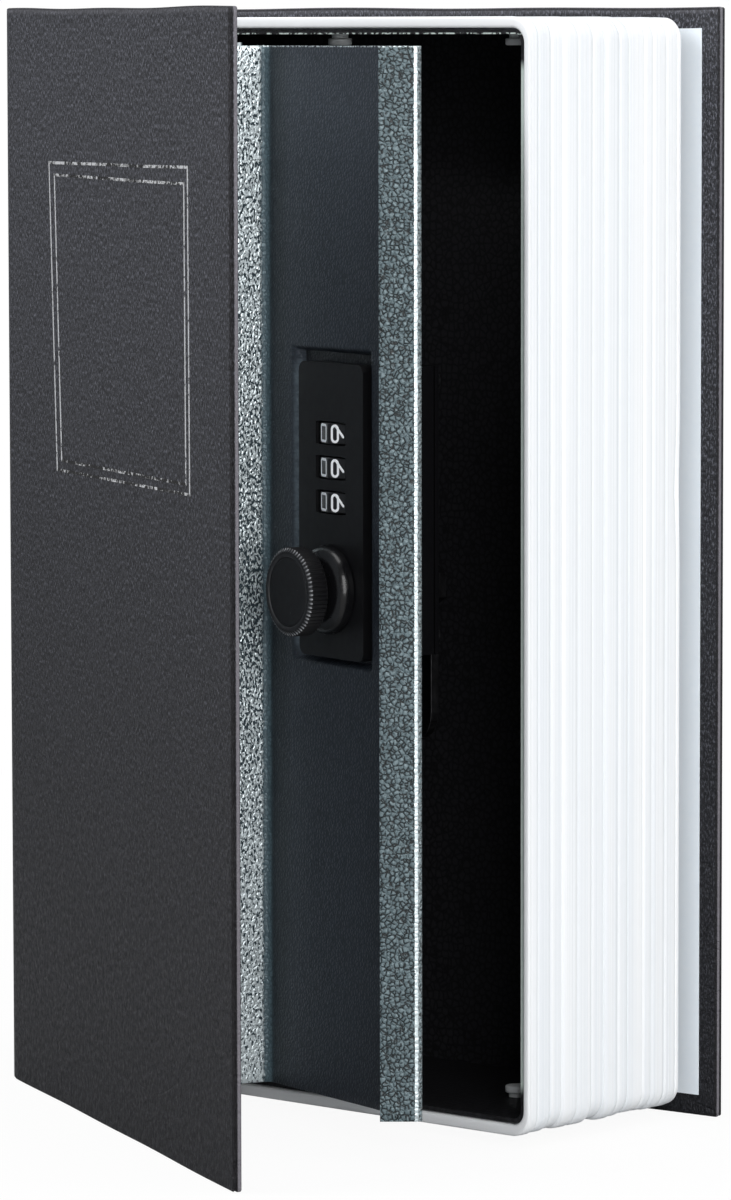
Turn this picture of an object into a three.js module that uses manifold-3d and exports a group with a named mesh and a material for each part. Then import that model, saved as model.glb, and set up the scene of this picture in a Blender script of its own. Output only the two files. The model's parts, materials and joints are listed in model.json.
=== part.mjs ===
// Book safe: a casebound cover round a moulded page block, with a steel box and a locked steel door inside.
// Millimetres. X runs from the spine to the page edges, Y from front to back and Z up the book's height.
// The pieces are drawn with the page block's front fore-edge at X 0 and Y 0, and the whole is then shifted
// so that the origin lies in the middle of the back cover's bottom edge.
import * as THREE from 'three';
import { mergeVertices } from 'three/addons/utils/BufferGeometryUtils.js';
import Module from 'manifold-3d';

const wasm = await Module();
wasm.setup();

// Shared clearances
const clearance = 0.3;
const glueLine = 0.15;
const overrun = 1;

// Covers
const coverHeight = 240;
const wrapThickness = 0.4;
const boardThickness = 1.3;
const paperThickness = 0.2;
const paperInset = 4.5;
const foreOverhang = 6.2;
const frontOverhang = 7.45;
const boardBow = 4.3;
const bowLength = 66;
const bowSteps = 10;

// Page block
const squareEdge = 2;
const blockWidth = 147;
const blockDepth = 51;
const shellTopWall = 2.4;
const shellSideWall = 1.6;
const shellCorner = 7;

// Steel box
const boxSheet = 1;
const boxCorner = 3;
const boxFrontInset = 0.8;
const boxSpineInset = 0.5;

// Spine and its two flexible joints
const spineGap = 1.9;
const rearJointReach = 5.5;
const jointThickness = 0.8;
const coverAxisInset = 1.5;
const coverAxisForward = 0.5;
const coverEdgeReach = 6.7;
const coverStandoff = 3.4;
const coverOpenDeg = 27.5;

// Door sheet
const doorOpenDeg = 15.125;
const doorAxisInset = 8.7;
const doorAxisDepth = 4;
const doorEndGap = 6.1;
const doorSheet = 1;
const landDepth = 1;
const landStart = 4.5;
const panelDepth = 10.1;
const panelStartFromFore = 65.4;
const panelEndFromFore = 4.9;
const stepSlope = 1.3;
const flangeLength = 8.2;
const flangeLeanDeg = 30;
const bendRadius = 2;
const tightBendRadius = 1;
const bendSteps = 4;

// Door pivots
const earLength = 40;
const earLift = 0.7;
const pivotRadius = 1.5;
const pivotHeadRadius = 2.4;
const pivotHeadHeight = 1.4;
const bushWall = 0.8;

// Studs that hold the page block on the box
const studRadius = 1.8;
const studHeadRadius = 2.6;
const studHeadHeight = 1.5;
const studNeck = 0.9;
const studDepth = 22.6;
const studSpacing = 51;

// Lock faceplate and the pocket that it sits in
const lockFromFore = 37.8;
const faceHeight = 62.5;
const faceThickness = 3;
const faceCentreHeight = 134;
const faceCorner = 2;
const pocketDepth = 2;
const pocketMargin = 2;
const pocketCorner = 3;
const spigotInset = 2.8;
const spigotWall = 1.2;

// Number wheels
const wheelCount = 3;
const wheelPitch = 7.3;
const wheelRadius = 8.5;
const wheelThickness = 4.4;
const wheelFacets = 10;
const wheelProud = 1;
const wheelSideRoom = 4;
const wheelBackRoom = 2.3;
const topWheelHeight = 150.4;
const windowWidth = 11.6;
const windowHeight = 4.7;
const shaftRadius = 1.6;
const codeDiscRadius = 4.2;
const codeDiscThickness = 1.6;
const gateWidth = 2;
const gateDepth = 1.2;

// Lock case behind the door
const caseWall = 1.4;
const caseInset = 0.7;
const ribThickness = 1.2;
const ribClearance = 3.4;
const backPlateThickness = 1;
const screwShankRadius = 0.9;
const screwShankLength = 7;
const screwHeadRadius = 2;
const screwHeadHeight = 1.2;
const screwPostRadius = 2.3;
const springThickness = 0.4;
const springLength = 8;
const fenceThickness = 1.2;
const fenceDepth = 2.5;
const fenceWithdrawn = 0.8;

// Combination change slider
const sliderWidth = 2.4;
const sliderLength = 4;
const sliderTravel = 3;
const sliderFlange = 0.8;
const sliderHeight = 1.6;

// Knob, its collar and the latch that it turns
const knobHeight = 117.3;
const knobRadius = 9.4;
const knobRim = 4.8;
const knobReach = 12.3;
const knurlCount = 62;
const knurlDepth = 0.35;
const neckRadius = 5.2;
const collarRadius = 9.5;
const collarHeight = 4.2;
const collarSteps = 6;
const spindleRadius = 3;
const spindleGrip = 3;
const camThickness = 2;
const camLength = 33;
const camWidth = 12;
const nutThickness = 2.4;
const nutRadius = 5.4;
const nutSides = 6;

// Latch keeper on the box wall
const keeperSheet = 1.2;
const keeperReach = 7;
const keeperHeight = 26;
const keeperFoot = 9;
const keeperPlay = 0.9;

// Fineness of round surfaces
const roundSteps = 24;
const cornerSteps = 5;

// Places that follow from the sizes above
const coverThickness = wrapThickness + boardThickness + paperThickness + 2 * glueLine;
const blockBottom = squareEdge;
const blockTop = coverHeight - squareEdge;
const shellBack = blockDepth - clearance;
const boxBottom = blockBottom + shellTopWall + clearance;
const boxTop = coverHeight - boxBottom;
const boxFore = -(shellSideWall + clearance);
const boxSpine = -(blockWidth - boxSpineInset);
const boxBack = shellBack - boxFrontInset + clearance;
const spineOuter = -(blockWidth + spineGap + coverThickness - paperThickness - glueLine);
const spineFront = -coverAxisForward * 2;
const spineBack = blockDepth + coverThickness;
const rearJointEnd = -(blockWidth - rearJointReach);
const doorAxisFromFore = blockWidth - doorAxisInset;
const doorBottom = blockBottom + doorEndGap;
const doorTop = coverHeight - doorBottom;
const coverAxis = [spineOuter + coverAxisInset, -coverAxisForward];
const frontBoardWidth = frontOverhang - coverAxis[0] - coverEdgeReach;
const doorAxis = [-doorAxisFromFore, doorAxisDepth];
const panelFront = panelDepth - doorAxisDepth;
const landFront = landDepth - doorAxisDepth;
const lockX = doorAxisFromFore - lockFromFore;
const faceFront = pocketDepth - clearance - faceThickness;
const faceBack = pocketDepth - clearance;
const pocketFloorBack = pocketDepth + doorSheet;
const caseFront = pocketFloorBack + clearance;
const faceWidth = 2 * (wheelRadius + wheelSideRoom);
const wheelAxisDepth = faceFront - wheelProud + wheelRadius;
const caseBack = wheelAxisDepth + wheelRadius + wheelBackRoom;
const shaftBottom = topWheelHeight - (wheelCount - 1) * wheelPitch - wheelThickness - ribClearance;
const shaftTop = topWheelHeight + wheelThickness + ribClearance;
const sliderStart = -(sliderLength + sliderTravel) / 2;
const sliderZ = (knobHeight + camWidth / 2 + shaftBottom) / 2;
const camFront = caseBack + clearance + backPlateThickness + 2 * clearance + screwHeadHeight;
const originX = -blockWidth / 2;
const originY = blockDepth + coverThickness / 2;

// Materials, with the colours of the real finishes
function finish(color, roughness, metalness) {
  return new THREE.MeshStandardMaterial({ color, roughness, metalness });
}
const leatherette = finish('#3a3a3d', 0.6, 0);
const greyboard = finish('#8a8173', 0.9, 0);
const endpaper = finish('#c9d2dc', 0.85, 0);
const whiteMoulding = finish('#f1f2f3', 0.45, 0);
const boxPaint = finish('#1b1b1d', 0.5, 0.1);
const hammeredPaint = finish('#5f7075', 0.35, 0.5);
const blackPlastic = finish('#141416', 0.4, 0);
const wheelPlastic = finish('#1c1c1f', 0.45, 0);
const zincSteel = finish('#a9abad', 0.35, 0.9);
const springSteel = finish('#c3c4c6', 0.25, 1);
const brass = finish('#b58d3c', 0.35, 0.9);

// A copy of a geometry with positions only and its shared points merged
function bareMesh(geometry) {
  const bare = geometry.clone();
  bare.deleteAttribute('normal');
  bare.deleteAttribute('uv');
  return mergeVertices(bare);
}

// A closed geometry becomes a solid for cutting and joining, and goes back to a geometry afterwards
function solid(geometry) {
  const merged = bareMesh(geometry);
  return new wasm.Manifold(
    new wasm.Mesh({
      numProp: 3,
      vertProperties: new Float32Array(merged.attributes.position.array),
      triVerts: new Uint32Array(merged.index.array),
    }),
  );
}

function geometryOf(body) {
  const mesh = body.getMesh();
  const geometry = new THREE.BufferGeometry();
  geometry.setAttribute('position', new THREE.BufferAttribute(mesh.vertProperties, 3));
  geometry.setIndex(new THREE.BufferAttribute(mesh.triVerts, 1));
  geometry.computeVertexNormals();
  return geometry;
}

function cut(geometry, ...tools) {
  let body = solid(geometry);
  for (const tool of tools) {
    body = body.subtract(solid(tool));
  }
  return geometryOf(body);
}

function join(geometry, ...others) {
  let body = solid(geometry);
  for (const other of others) {
    body = body.add(solid(other));
  }
  return geometryOf(body);
}

// A block between two opposite corners
function block(x0, x1, y0, y1, z0, z1) {
  const geometry = new THREE.BoxGeometry(x1 - x0, y1 - y0, z1 - z0);
  return geometry.translate((x0 + x1) / 2, (y0 + y1) / 2, (z0 + z1) / 2);
}

// A round bar along Y, at x and z, from y0 to y1
function barAlongY(radius, x, z, y0, y1, sides = roundSteps) {
  const geometry = new THREE.CylinderGeometry(radius, radius, y1 - y0, sides);
  return geometry.translate(x, (y0 + y1) / 2, z);
}

// A round bar along Z, at x and y, from z0 to z1
function barAlongZ(radius, x, y, z0, z1, sides = roundSteps) {
  const geometry = new THREE.CylinderGeometry(radius, radius, z1 - z0, sides);
  return geometry.rotateX(Math.PI / 2).translate(x, y, (z0 + z1) / 2);
}

// An outline in X and Y, drawn up from z0 to z1
function upright(shape, z0, z1) {
  const options = { depth: z1 - z0, bevelEnabled: false, curveSegments: cornerSteps };
  return new THREE.ExtrudeGeometry(shape, options).translate(0, 0, z0);
}

// An outline in X and Z, drawn back from y0 to y1
function across(shape, y0, y1) {
  const options = { depth: y1 - y0, bevelEnabled: false, curveSegments: cornerSteps };
  return new THREE.ExtrudeGeometry(shape, options).rotateX(Math.PI / 2).translate(0, y1, 0);
}

// A rectangle whose corners on the right, and on the left if wanted, are round
function roundedRectangle(x0, x1, z0, z1, right, left) {
  const shape = new THREE.Shape();
  shape.moveTo(x0 + left, z0);
  shape.lineTo(x1 - right, z0);
  shape.absarc(x1 - right, z0 + right, right, -Math.PI / 2, 0);
  shape.lineTo(x1, z1 - right);
  shape.absarc(x1 - right, z1 - right, right, 0, Math.PI / 2);
  shape.lineTo(x0 + left, z1);
  if (left > 0) {
    shape.absarc(x0 + left, z1 - left, left, Math.PI / 2, Math.PI);
    shape.lineTo(x0, z0 + left);
    shape.absarc(x0 + left, z0 + left, left, Math.PI, Math.PI * 1.5);
  } else {
    shape.lineTo(x0, z0);
  }
  return shape;
}

// A path whose inner corners are rounded, as [x, y] points
function roundedPath(corners, radii) {
  const path = [corners[0]];
  for (let i = 1; i < corners.length - 1; i += 1) {
    const here = new THREE.Vector2(...corners[i]);
    const before = new THREE.Vector2(...corners[i - 1]).sub(here).normalize();
    const after = new THREE.Vector2(...corners[i + 1]).sub(here).normalize();
    const half = Math.acos(THREE.MathUtils.clamp(before.dot(after), -1, 1)) / 2;
    const trim = radii[i - 1] / Math.tan(half);
    const middle = before.clone().add(after).normalize();
    const centre = here.clone().addScaledVector(middle, radii[i - 1] / Math.sin(half));
    const from = here.clone().addScaledVector(before, trim).sub(centre);
    const to = here.clone().addScaledVector(after, trim).sub(centre);
    const turn = Math.atan2(from.cross(to), from.dot(to));
    for (let k = 0; k <= bendSteps; k += 1) {
      const point = from.clone().rotateAround(new THREE.Vector2(), (turn * k) / bendSteps).add(centre);
      path.push([point.x, point.y]);
    }
  }
  path.push(corners[corners.length - 1]);
  return path;
}

// The outline of a strip of even thickness that follows a path down its middle
function stripOutline(path, thickness) {
  const left = [];
  const right = [];
  for (let i = 0; i < path.length; i += 1) {
    const before = path[Math.max(i - 1, 0)];
    const after = path[Math.min(i + 1, path.length - 1)];
    const along = new THREE.Vector2(after[0] - before[0], after[1] - before[1]).normalize();
    const side = [-along.y * thickness * 0.5, along.x * thickness * 0.5];
    left.push(new THREE.Vector2(path[i][0] + side[0], path[i][1] + side[1]));
    right.push(new THREE.Vector2(path[i][0] - side[0], path[i][1] - side[1]));
  }
  return new THREE.Shape([...left, ...right.reverse()]);
}

// How far the back cover bows away from the page block at a place across its width
function bowAt(x) {
  const share = Math.max(0, (x + bowLength) / (bowLength + foreOverhang));
  return boardBow * share * share;
}

// The part of the back cover's section between two depths and two places across its width
function backSection(x0, x1, depth0, depth1) {
  const inner = [];
  const outer = [];
  const stations = [x0];
  for (let i = 0; i <= bowSteps; i += 1) {
    const x = -bowLength + ((bowLength + foreOverhang) * i) / bowSteps;
    if (x > x0 && x < x1) {
      stations.push(x);
    }
  }
  stations.push(x1);
  for (const x of stations) {
    inner.push(new THREE.Vector2(x, blockDepth + bowAt(x) + depth0));
    outer.push(new THREE.Vector2(x, blockDepth + bowAt(x) + depth1));
  }
  return new THREE.Shape([...inner, ...outer.reverse()]);
}

const safe = new THREE.Group();
safe.position.set(-originX, -originY, 0);

function add(parent, name, geometry, material) {
  const mesh = new THREE.Mesh(geometry, material);
  mesh.name = name;
  parent.add(mesh);
}

// Back cover: endpaper, board and the leatherette wrapped round its edges
function addBackCover(parent) {
  const left = rearJointEnd;
  const boardFront = paperThickness + glueLine;
  const boardBack = boardFront + boardThickness;
  const edge = wrapThickness + glueLine;
  const paper = upright(
    backSection(left + paperInset, foreOverhang - paperInset, 0, paperThickness),
    paperInset,
    coverHeight - paperInset,
  );
  const board = upright(
    backSection(left + edge, foreOverhang - edge, boardFront, boardBack),
    edge,
    coverHeight - edge,
  );
  const wrap = cut(
    upright(backSection(left, foreOverhang, boardFront, coverThickness), 0, coverHeight),
    upright(
      backSection(
        left + wrapThickness, foreOverhang - wrapThickness,
        boardFront - overrun, coverThickness - wrapThickness,
      ),
      wrapThickness,
      coverHeight - wrapThickness,
    ),
  );
  add(parent, 'back_endpaper', paper, endpaper);
  add(parent, 'back_board', board, greyboard);
  add(parent, 'back_cover_wrap', wrap, leatherette);
}

// Spine: a board in its own wrap, and the flexible strip that joins it to the back cover
function addSpine(parent) {
  const edge = wrapThickness + glueLine;
  const boardInner = spineOuter + edge + boardThickness;
  const board = block(
    spineOuter + edge, boardInner,
    spineFront + edge, spineBack - edge,
    edge, coverHeight - edge,
  );
  const wrap = cut(
    block(spineOuter, boardInner, spineFront, spineBack, 0, coverHeight),
    block(
      spineOuter + wrapThickness, boardInner + overrun,
      spineFront + wrapThickness, spineBack - wrapThickness,
      wrapThickness, coverHeight - wrapThickness,
    ),
  );
  const half = jointThickness / 2;
  const rearPath = [
    [boardInner + clearance, spineBack - half],
    [rearJointEnd - clearance, spineBack - half],
  ];
  add(parent, 'spine_board', board, greyboard);
  add(parent, 'spine_wrap', wrap, leatherette);
  const rearJoint = upright(stripOutline(rearPath, jointThickness), 0, coverHeight);
  add(parent, 'rear_joint_strip', rearJoint, leatherette);
}

// Front cover, drawn closed with its hinge line at the group's origin
function addFrontCover(parent) {
  const x0 = coverEdgeReach;
  const x1 = coverEdgeReach + frontBoardWidth;
  const inner = -coverStandoff;
  const outer = inner - coverThickness;
  const boardInner = inner - paperThickness - glueLine;
  const edge = wrapThickness + glueLine;
  const paper = block(
    x0 + paperInset, x1 - paperInset,
    inner - paperThickness, inner,
    paperInset, coverHeight - paperInset,
  );
  const board = block(x0 + edge, x1 - edge, outer + edge, boardInner, edge, coverHeight - edge);
  const wrap = cut(
    block(x0, x1, outer, boardInner, 0, coverHeight),
    block(
      x0 + wrapThickness, x1 - wrapThickness,
      outer + wrapThickness, boardInner + overrun,
      wrapThickness, coverHeight - wrapThickness,
    ),
  );
  add(parent, 'front_endpaper', paper, endpaper);
  add(parent, 'front_board', board, greyboard);
  add(parent, 'front_cover_wrap', wrap, leatherette);
}

// The flexible strip between the spine and the open front cover
function addFrontJoint(parent) {
  const open = THREE.MathUtils.degToRad(coverOpenDeg);
  const half = jointThickness / 2;
  const middle = coverStandoff + coverThickness - half;
  const reach = coverEdgeReach - clearance;
  const end = new THREE.Vector2(reach, -middle).rotateAround(new THREE.Vector2(), -open);
  const near = new THREE.Vector2(reach / 2, -middle).rotateAround(new THREE.Vector2(), -open);
  const path = roundedPath(
    [
      [spineOuter + half, spineFront - clearance],
      [coverAxis[0] + near.x, coverAxis[1] + near.y],
      [coverAxis[0] + end.x, coverAxis[1] + end.y],
    ],
    [jointThickness],
  );
  add(parent, 'front_joint_strip', upright(stripOutline(path, jointThickness), 0, coverHeight), leatherette);
}

// Page block: one moulding for the top, bottom and fore-edge, open towards the spine
function addPageShell(parent) {
  const innerCorner = boxCorner + clearance;
  const shell = cut(
    across(roundedRectangle(-blockWidth, 0, blockBottom, blockTop, shellCorner, 0), 0, shellBack),
    across(
      roundedRectangle(
        -blockWidth - overrun, -shellSideWall,
        blockBottom + shellTopWall, blockTop - shellTopWall,
        innerCorner, 0,
      ),
      -overrun,
      shellBack + overrun,
    ),
  );
  add(parent, 'page_shell', shell, whiteMoulding);
}

// The places of the studs along the block
function studPlaces() {
  const places = [];
  for (let i = -1; i <= 1; i += 1) {
    places.push(-blockWidth / 2 + i * studSpacing);
  }
  return places;
}

// Steel box: a tray that is open at the front, with holes for the studs and the door's pivot bushes
function addSteelBox(parent) {
  const tools = [
    across(
      roundedRectangle(
        boxSpine + boxSheet, boxFore - boxSheet,
        boxBottom + boxSheet, boxTop - boxSheet,
        boxCorner - boxSheet, 0,
      ),
      boxFrontInset - overrun,
      boxBack - boxSheet,
    ),
  ];
  for (const [low, high] of [
    [boxBottom - overrun, boxBottom + boxSheet + overrun],
    [boxTop - boxSheet - overrun, boxTop + overrun],
  ]) {
    for (const x of studPlaces()) {
      tools.push(barAlongZ(studRadius + clearance, x, studDepth, low, high));
    }
    tools.push(barAlongZ(pivotRadius + 2 * clearance + bushWall, ...doorAxis, low, high));
  }
  const outline = roundedRectangle(boxSpine, boxFore, boxBottom, boxTop, boxCorner, 0);
  const tray = across(outline, boxFrontInset, boxBack);
  add(parent, 'steel_box', cut(tray, ...tools), boxPaint);
}

// A stud: a neck through the box wall with a wider head inside, drawn for one end and mirrored for the other
function addStuds(parent) {
  const ends = { lower: [0, 1], upper: [coverHeight, -1] };
  const outerEnd = blockBottom + shellTopWall + clearance;
  const headOuter = boxBottom + boxSheet + studNeck;
  for (const [end, [base, sign]] of Object.entries(ends)) {
    studPlaces().forEach((x, i) => {
      const neck = [base + sign * outerEnd, base + sign * (headOuter + overrun / 2)].sort((a, b) => a - b);
      const headInner = headOuter + studHeadHeight;
      const head = [base + sign * headOuter, base + sign * headInner].sort((a, b) => a - b);
      const stud = join(
        barAlongZ(studRadius, x, studDepth, ...neck),
        barAlongZ(studHeadRadius, x, studDepth, ...head),
      );
      add(parent, `${end}_stud_${i + 1}`, stud, whiteMoulding);
    });
  }
}

// The bushes in the box walls that the door's pivot pins turn in
function addBushes(parent) {
  const inner = pivotRadius + clearance;
  for (const [end, low] of [['lower', boxBottom], ['upper', boxTop - boxSheet]]) {
    const ring = cut(
      barAlongZ(inner + bushWall, ...doorAxis, low, low + boxSheet),
      barAlongZ(inner, ...doorAxis, low - overrun, low + boxSheet + overrun),
    );
    add(parent, `${end}_pivot_bush`, ring, brass);
  }
}

// Latch keeper: an angle on the fore-edge wall, whose leg stands in front of the turned latch
function addKeeper(parent) {
  const wall = boxFore - boxSheet - clearance;
  const legBack = panelDepth + camFront - keeperPlay;
  const low = knobHeight - keeperHeight / 2;
  const high = knobHeight + keeperHeight / 2;
  const keeper = join(
    block(wall - keeperSheet, wall, legBack - keeperFoot, legBack, low, high),
    block(wall - keeperReach, wall, legBack - keeperSheet, legBack, low, high),
  );
  add(parent, 'latch_keeper', keeper, zincSteel);
}

// Door: one bent sheet with ears for its pivots and a pressed lock pocket, drawn closed about its pivot
function addDoor(parent) {
  const mid = doorSheet / 2;
  const lean = THREE.MathUtils.degToRad(flangeLeanDeg);
  const stepFoot = doorAxisFromFore - panelStartFromFore;
  const panelEnd = doorAxisFromFore - panelEndFromFore;
  const corners = [
    [landStart, landFront + mid],
    [stepFoot - stepSlope, landFront + mid],
    [stepFoot, panelFront + mid],
    [panelEnd - mid, panelFront + mid],
    [panelEnd - mid - flangeLength * Math.sin(lean), panelFront + mid - flangeLength * Math.cos(lean)],
  ];
  const sheet = upright(
    stripOutline(roundedPath(corners, [bendRadius, bendRadius, tightBendRadius]), doorSheet),
    doorBottom,
    doorTop,
  );
  const earBack = pivotHeadRadius + clearance;
  const ears = [];
  const earHoles = [];
  for (const low of [doorBottom - earLift, doorTop + earLift - doorSheet]) {
    ears.push(block(0, earLength, landFront, earBack, low, low + doorSheet));
    ears.push(barAlongZ(earBack, 0, 0, low, low + doorSheet));
    earHoles.push(barAlongZ(pivotRadius + clearance, 0, 0, low - overrun, low + doorSheet + overrun));
  }
  const pocketWidth = faceWidth + 2 * pocketMargin;
  const pocketHeight = faceHeight + 2 * pocketMargin;
  const pocket = (grow, y0, y1) => across(
    roundedRectangle(
      lockX - pocketWidth / 2 - grow, lockX + pocketWidth / 2 + grow,
      faceCentreHeight - pocketHeight / 2 - grow, faceCentreHeight + pocketHeight / 2 + grow,
      pocketCorner + grow, pocketCorner + grow,
    ),
    panelFront + y0,
    panelFront + y1,
  );
  const opening = block(
    lockX - faceWidth / 2 + spigotInset - clearance, lockX + faceWidth / 2 - spigotInset + clearance,
    panelFront, panelFront + pocketFloorBack + overrun,
    faceCentreHeight - faceHeight / 2 + spigotInset - clearance,
    faceCentreHeight + faceHeight / 2 - spigotInset + clearance,
  );
  const door = cut(
    join(sheet, ...ears, pocket(doorSheet, 0, pocketFloorBack)),
    pocket(0, -overrun, pocketDepth),
    opening,
    ...earHoles,
  );
  add(parent, 'door_panel', door, hammeredPaint);
}

// Pivot pins: a headed pin at each end of the door, drawn for the lower end and mirrored for the upper one
function addPivots(parent) {
  const outerEnd = boxBottom + clearance;
  const headOuter = doorBottom - earLift + doorSheet + clearance;
  for (const [end, base, sign] of [['lower', 0, 1], ['upper', coverHeight, -1]]) {
    const pin = [base + sign * outerEnd, base + sign * (headOuter + overrun / 2)].sort((a, b) => a - b);
    const head = [base + sign * headOuter, base + sign * (headOuter + pivotHeadHeight)].sort((a, b) => a - b);
    add(
      parent,
      `${end}_pivot_pin`,
      join(barAlongZ(pivotRadius, 0, 0, ...pin), barAlongZ(pivotHeadRadius, 0, 0, ...head)),
      zincSteel,
    );
  }
}

// The height of each number wheel's middle
function wheelHeight(i) {
  return topWheelHeight - i * wheelPitch;
}

// Lock faceplate: a bezel with windows, wheel hollows, a spindle hole and a spigot for the door's opening
function addFaceplate(lock) {
  const low = faceCentreHeight - faceHeight / 2;
  const high = faceCentreHeight + faceHeight / 2;
  const half = faceWidth / 2;
  const body = join(
    across(roundedRectangle(-half, half, low, high, faceCorner, faceCorner), faceFront, faceBack),
    block(-half + spigotInset, half - spigotInset, 0, pocketFloorBack, low + spigotInset, high - spigotInset),
  );
  const inset = spigotInset + spigotWall;
  const tools = [
    block(-half + inset, half - inset, faceBack, pocketFloorBack + overrun, low + inset, high - inset),
    barAlongY(spindleRadius + clearance, 0, knobHeight, faceFront - overrun, faceBack + overrun),
  ];
  for (let i = 0; i < wheelCount; i += 1) {
    const z = wheelHeight(i);
    const around = wheelThickness / 2 + clearance;
    tools.push(barAlongZ(wheelRadius + clearance, 0, wheelAxisDepth, z - around, z + around));
    tools.push(
      block(
        -windowWidth / 2, windowWidth / 2,
        faceFront - overrun, faceBack + overrun,
        z - windowHeight / 2, z + windowHeight / 2,
      ),
    );
  }
  add(lock, 'lock_faceplate', cut(body, ...tools), blackPlastic);
}

// The four screw places, as [x, z]
function screwPlaces() {
  const x = faceWidth / 2 - caseInset - caseWall - screwPostRadius + clearance;
  const z = faceHeight / 2 - caseInset - caseWall - screwPostRadius + clearance;
  return [[-x, -z], [x, -z], [-x, z], [x, z]].map(([a, b]) => [a, faceCentreHeight + b]);
}

// Lock case: a tray behind the door, open at the back, with ribs for the wheel shaft and posts for the screws
function addLockCase(lock) {
  const half = faceWidth / 2 - caseInset;
  const low = faceCentreHeight - faceHeight / 2 + caseInset;
  const high = faceCentreHeight + faceHeight / 2 - caseInset;
  const wheelRoom = wheelRadius + 2 * clearance;
  const hollow = cut(
    block(-half, half, caseFront, caseBack, low, high),
    block(
      -half + caseWall, half - caseWall,
      caseFront + caseWall, caseBack + overrun,
      low + caseWall, high - caseWall,
    ),
    block(-wheelRoom, wheelRoom, caseFront - overrun, caseFront + caseWall + overrun, shaftBottom, shaftTop),
    barAlongY(spindleRadius + clearance, 0, knobHeight, caseFront - overrun, caseFront + caseWall + overrun),
  );
  const extras = [];
  const tools = [];
  for (const z of [shaftBottom, shaftTop - ribThickness]) {
    extras.push(
      block(
        -half + caseWall / 2, half - caseWall / 2,
        caseFront, caseBack - clearance,
        z, z + ribThickness,
      ),
    );
    tools.push(
      barAlongZ(shaftRadius + clearance, 0, wheelAxisDepth, z - overrun, z + ribThickness + overrun),
    );
  }
  for (const [x, z] of screwPlaces()) {
    extras.push(barAlongY(screwPostRadius, x, z, caseFront + caseWall / 2, caseBack));
    tools.push(
      barAlongY(screwShankRadius + clearance, x, z, caseBack - screwShankLength, caseBack + overrun),
    );
  }
  add(lock, 'lock_case', cut(join(hollow, ...extras), ...tools), blackPlastic);
}

// The back plate that closes the case, with a slot for the change slider, and its four screws
function addBackPlate(lock) {
  const half = faceWidth / 2 - caseInset;
  const low = faceCentreHeight - faceHeight / 2 + caseInset;
  const high = faceCentreHeight + faceHeight / 2 - caseInset;
  const front = caseBack + clearance;
  const back = front + backPlateThickness;
  const tools = [
    barAlongY(spindleRadius + clearance, 0, knobHeight, front - overrun, back + overrun),
    block(
      sliderStart - clearance, sliderStart + sliderLength + sliderTravel + clearance,
      front - overrun, back + overrun,
      sliderZ - sliderWidth / 2 - clearance, sliderZ + sliderWidth / 2 + clearance,
    ),
  ];
  const shankFront = caseBack - screwShankLength + clearance;
  const headFront = back + clearance;
  screwPlaces().forEach(([x, z], i) => {
    tools.push(barAlongY(screwShankRadius + clearance, x, z, front - overrun, back + overrun));
    const screw = join(
      barAlongY(screwShankRadius, x, z, shankFront, headFront + overrun / 2),
      barAlongY(screwHeadRadius, x, z, headFront, headFront + screwHeadHeight),
    );
    add(lock, `lock_screw_${i + 1}`, screw, zincSteel);
  });
  add(lock, 'lock_back_plate', cut(block(-half, half, front, back, low, high), ...tools), zincSteel);
}

// The slider that frees the wheels for a new combination: a thumb piece with a flange under the back plate
function addChangeSlider(lock) {
  const plateFront = caseBack + clearance;
  const plateBack = plateFront + backPlateThickness;
  const half = sliderWidth / 2;
  const slider = join(
    block(
      sliderStart, sliderStart + sliderLength,
      plateFront - clearance - sliderFlange / 2, plateBack + sliderHeight,
      sliderZ - half, sliderZ + half,
    ),
    block(
      sliderStart, sliderStart + sliderLength,
      plateFront - clearance - sliderFlange, plateFront - clearance,
      sliderZ - half - sliderFlange, sliderZ + half + sliderFlange,
    ),
  );
  add(lock, 'change_slider', slider, blackPlastic);
}

// The wheels turn on one upright shaft. Each is a ten-sided drum that carries a gated code disc under it.
function addWheels(lock) {
  add(
    lock,
    'wheel_shaft',
    barAlongZ(shaftRadius, 0, wheelAxisDepth, shaftBottom - clearance, shaftTop + clearance),
    zincSteel,
  );
  const half = wheelThickness / 2;
  const bore = shaftRadius + clearance;
  for (let i = 0; i < wheelCount; i += 1) {
    const z = wheelHeight(i);
    const wheel = cut(
      barAlongZ(wheelRadius, 0, wheelAxisDepth, z - half, z + half, wheelFacets),
      barAlongZ(bore, 0, wheelAxisDepth, z - half - overrun, z + half + overrun),
    );
    const discTop = z - half - clearance;
    const disc = cut(
      barAlongZ(codeDiscRadius, 0, wheelAxisDepth, discTop - codeDiscThickness, discTop),
      barAlongZ(bore, 0, wheelAxisDepth, discTop - codeDiscThickness - overrun, discTop + overrun),
      block(
        -codeDiscRadius - overrun, -codeDiscRadius + gateDepth,
        wheelAxisDepth - gateWidth / 2, wheelAxisDepth + gateWidth / 2,
        discTop - codeDiscThickness - overrun, discTop + overrun,
      ),
    );
    add(lock, `number_wheel_${i + 1}`, wheel, wheelPlastic);
    add(lock, `code_disc_${i + 1}`, disc, brass);
  }
}

// Detent springs: a leaf beside each wheel with a foot against the case wall
function addDetents(lock) {
  const wall = faceWidth / 2 - caseInset - caseWall - clearance;
  const leaf = wheelRadius + clearance;
  for (let i = 0; i < wheelCount; i += 1) {
    const z = wheelHeight(i);
    const half = wheelThickness / 2 - clearance;
    const start = caseFront + caseWall + clearance;
    const end = start + springLength;
    const spring = join(
      block(leaf, leaf + springThickness, start, end, z - half, z + half),
      block(leaf, wall, end - springThickness, end, z - half, z + half),
    );
    add(lock, `detent_spring_${i + 1}`, spring, springSteel);
  }
}

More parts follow.
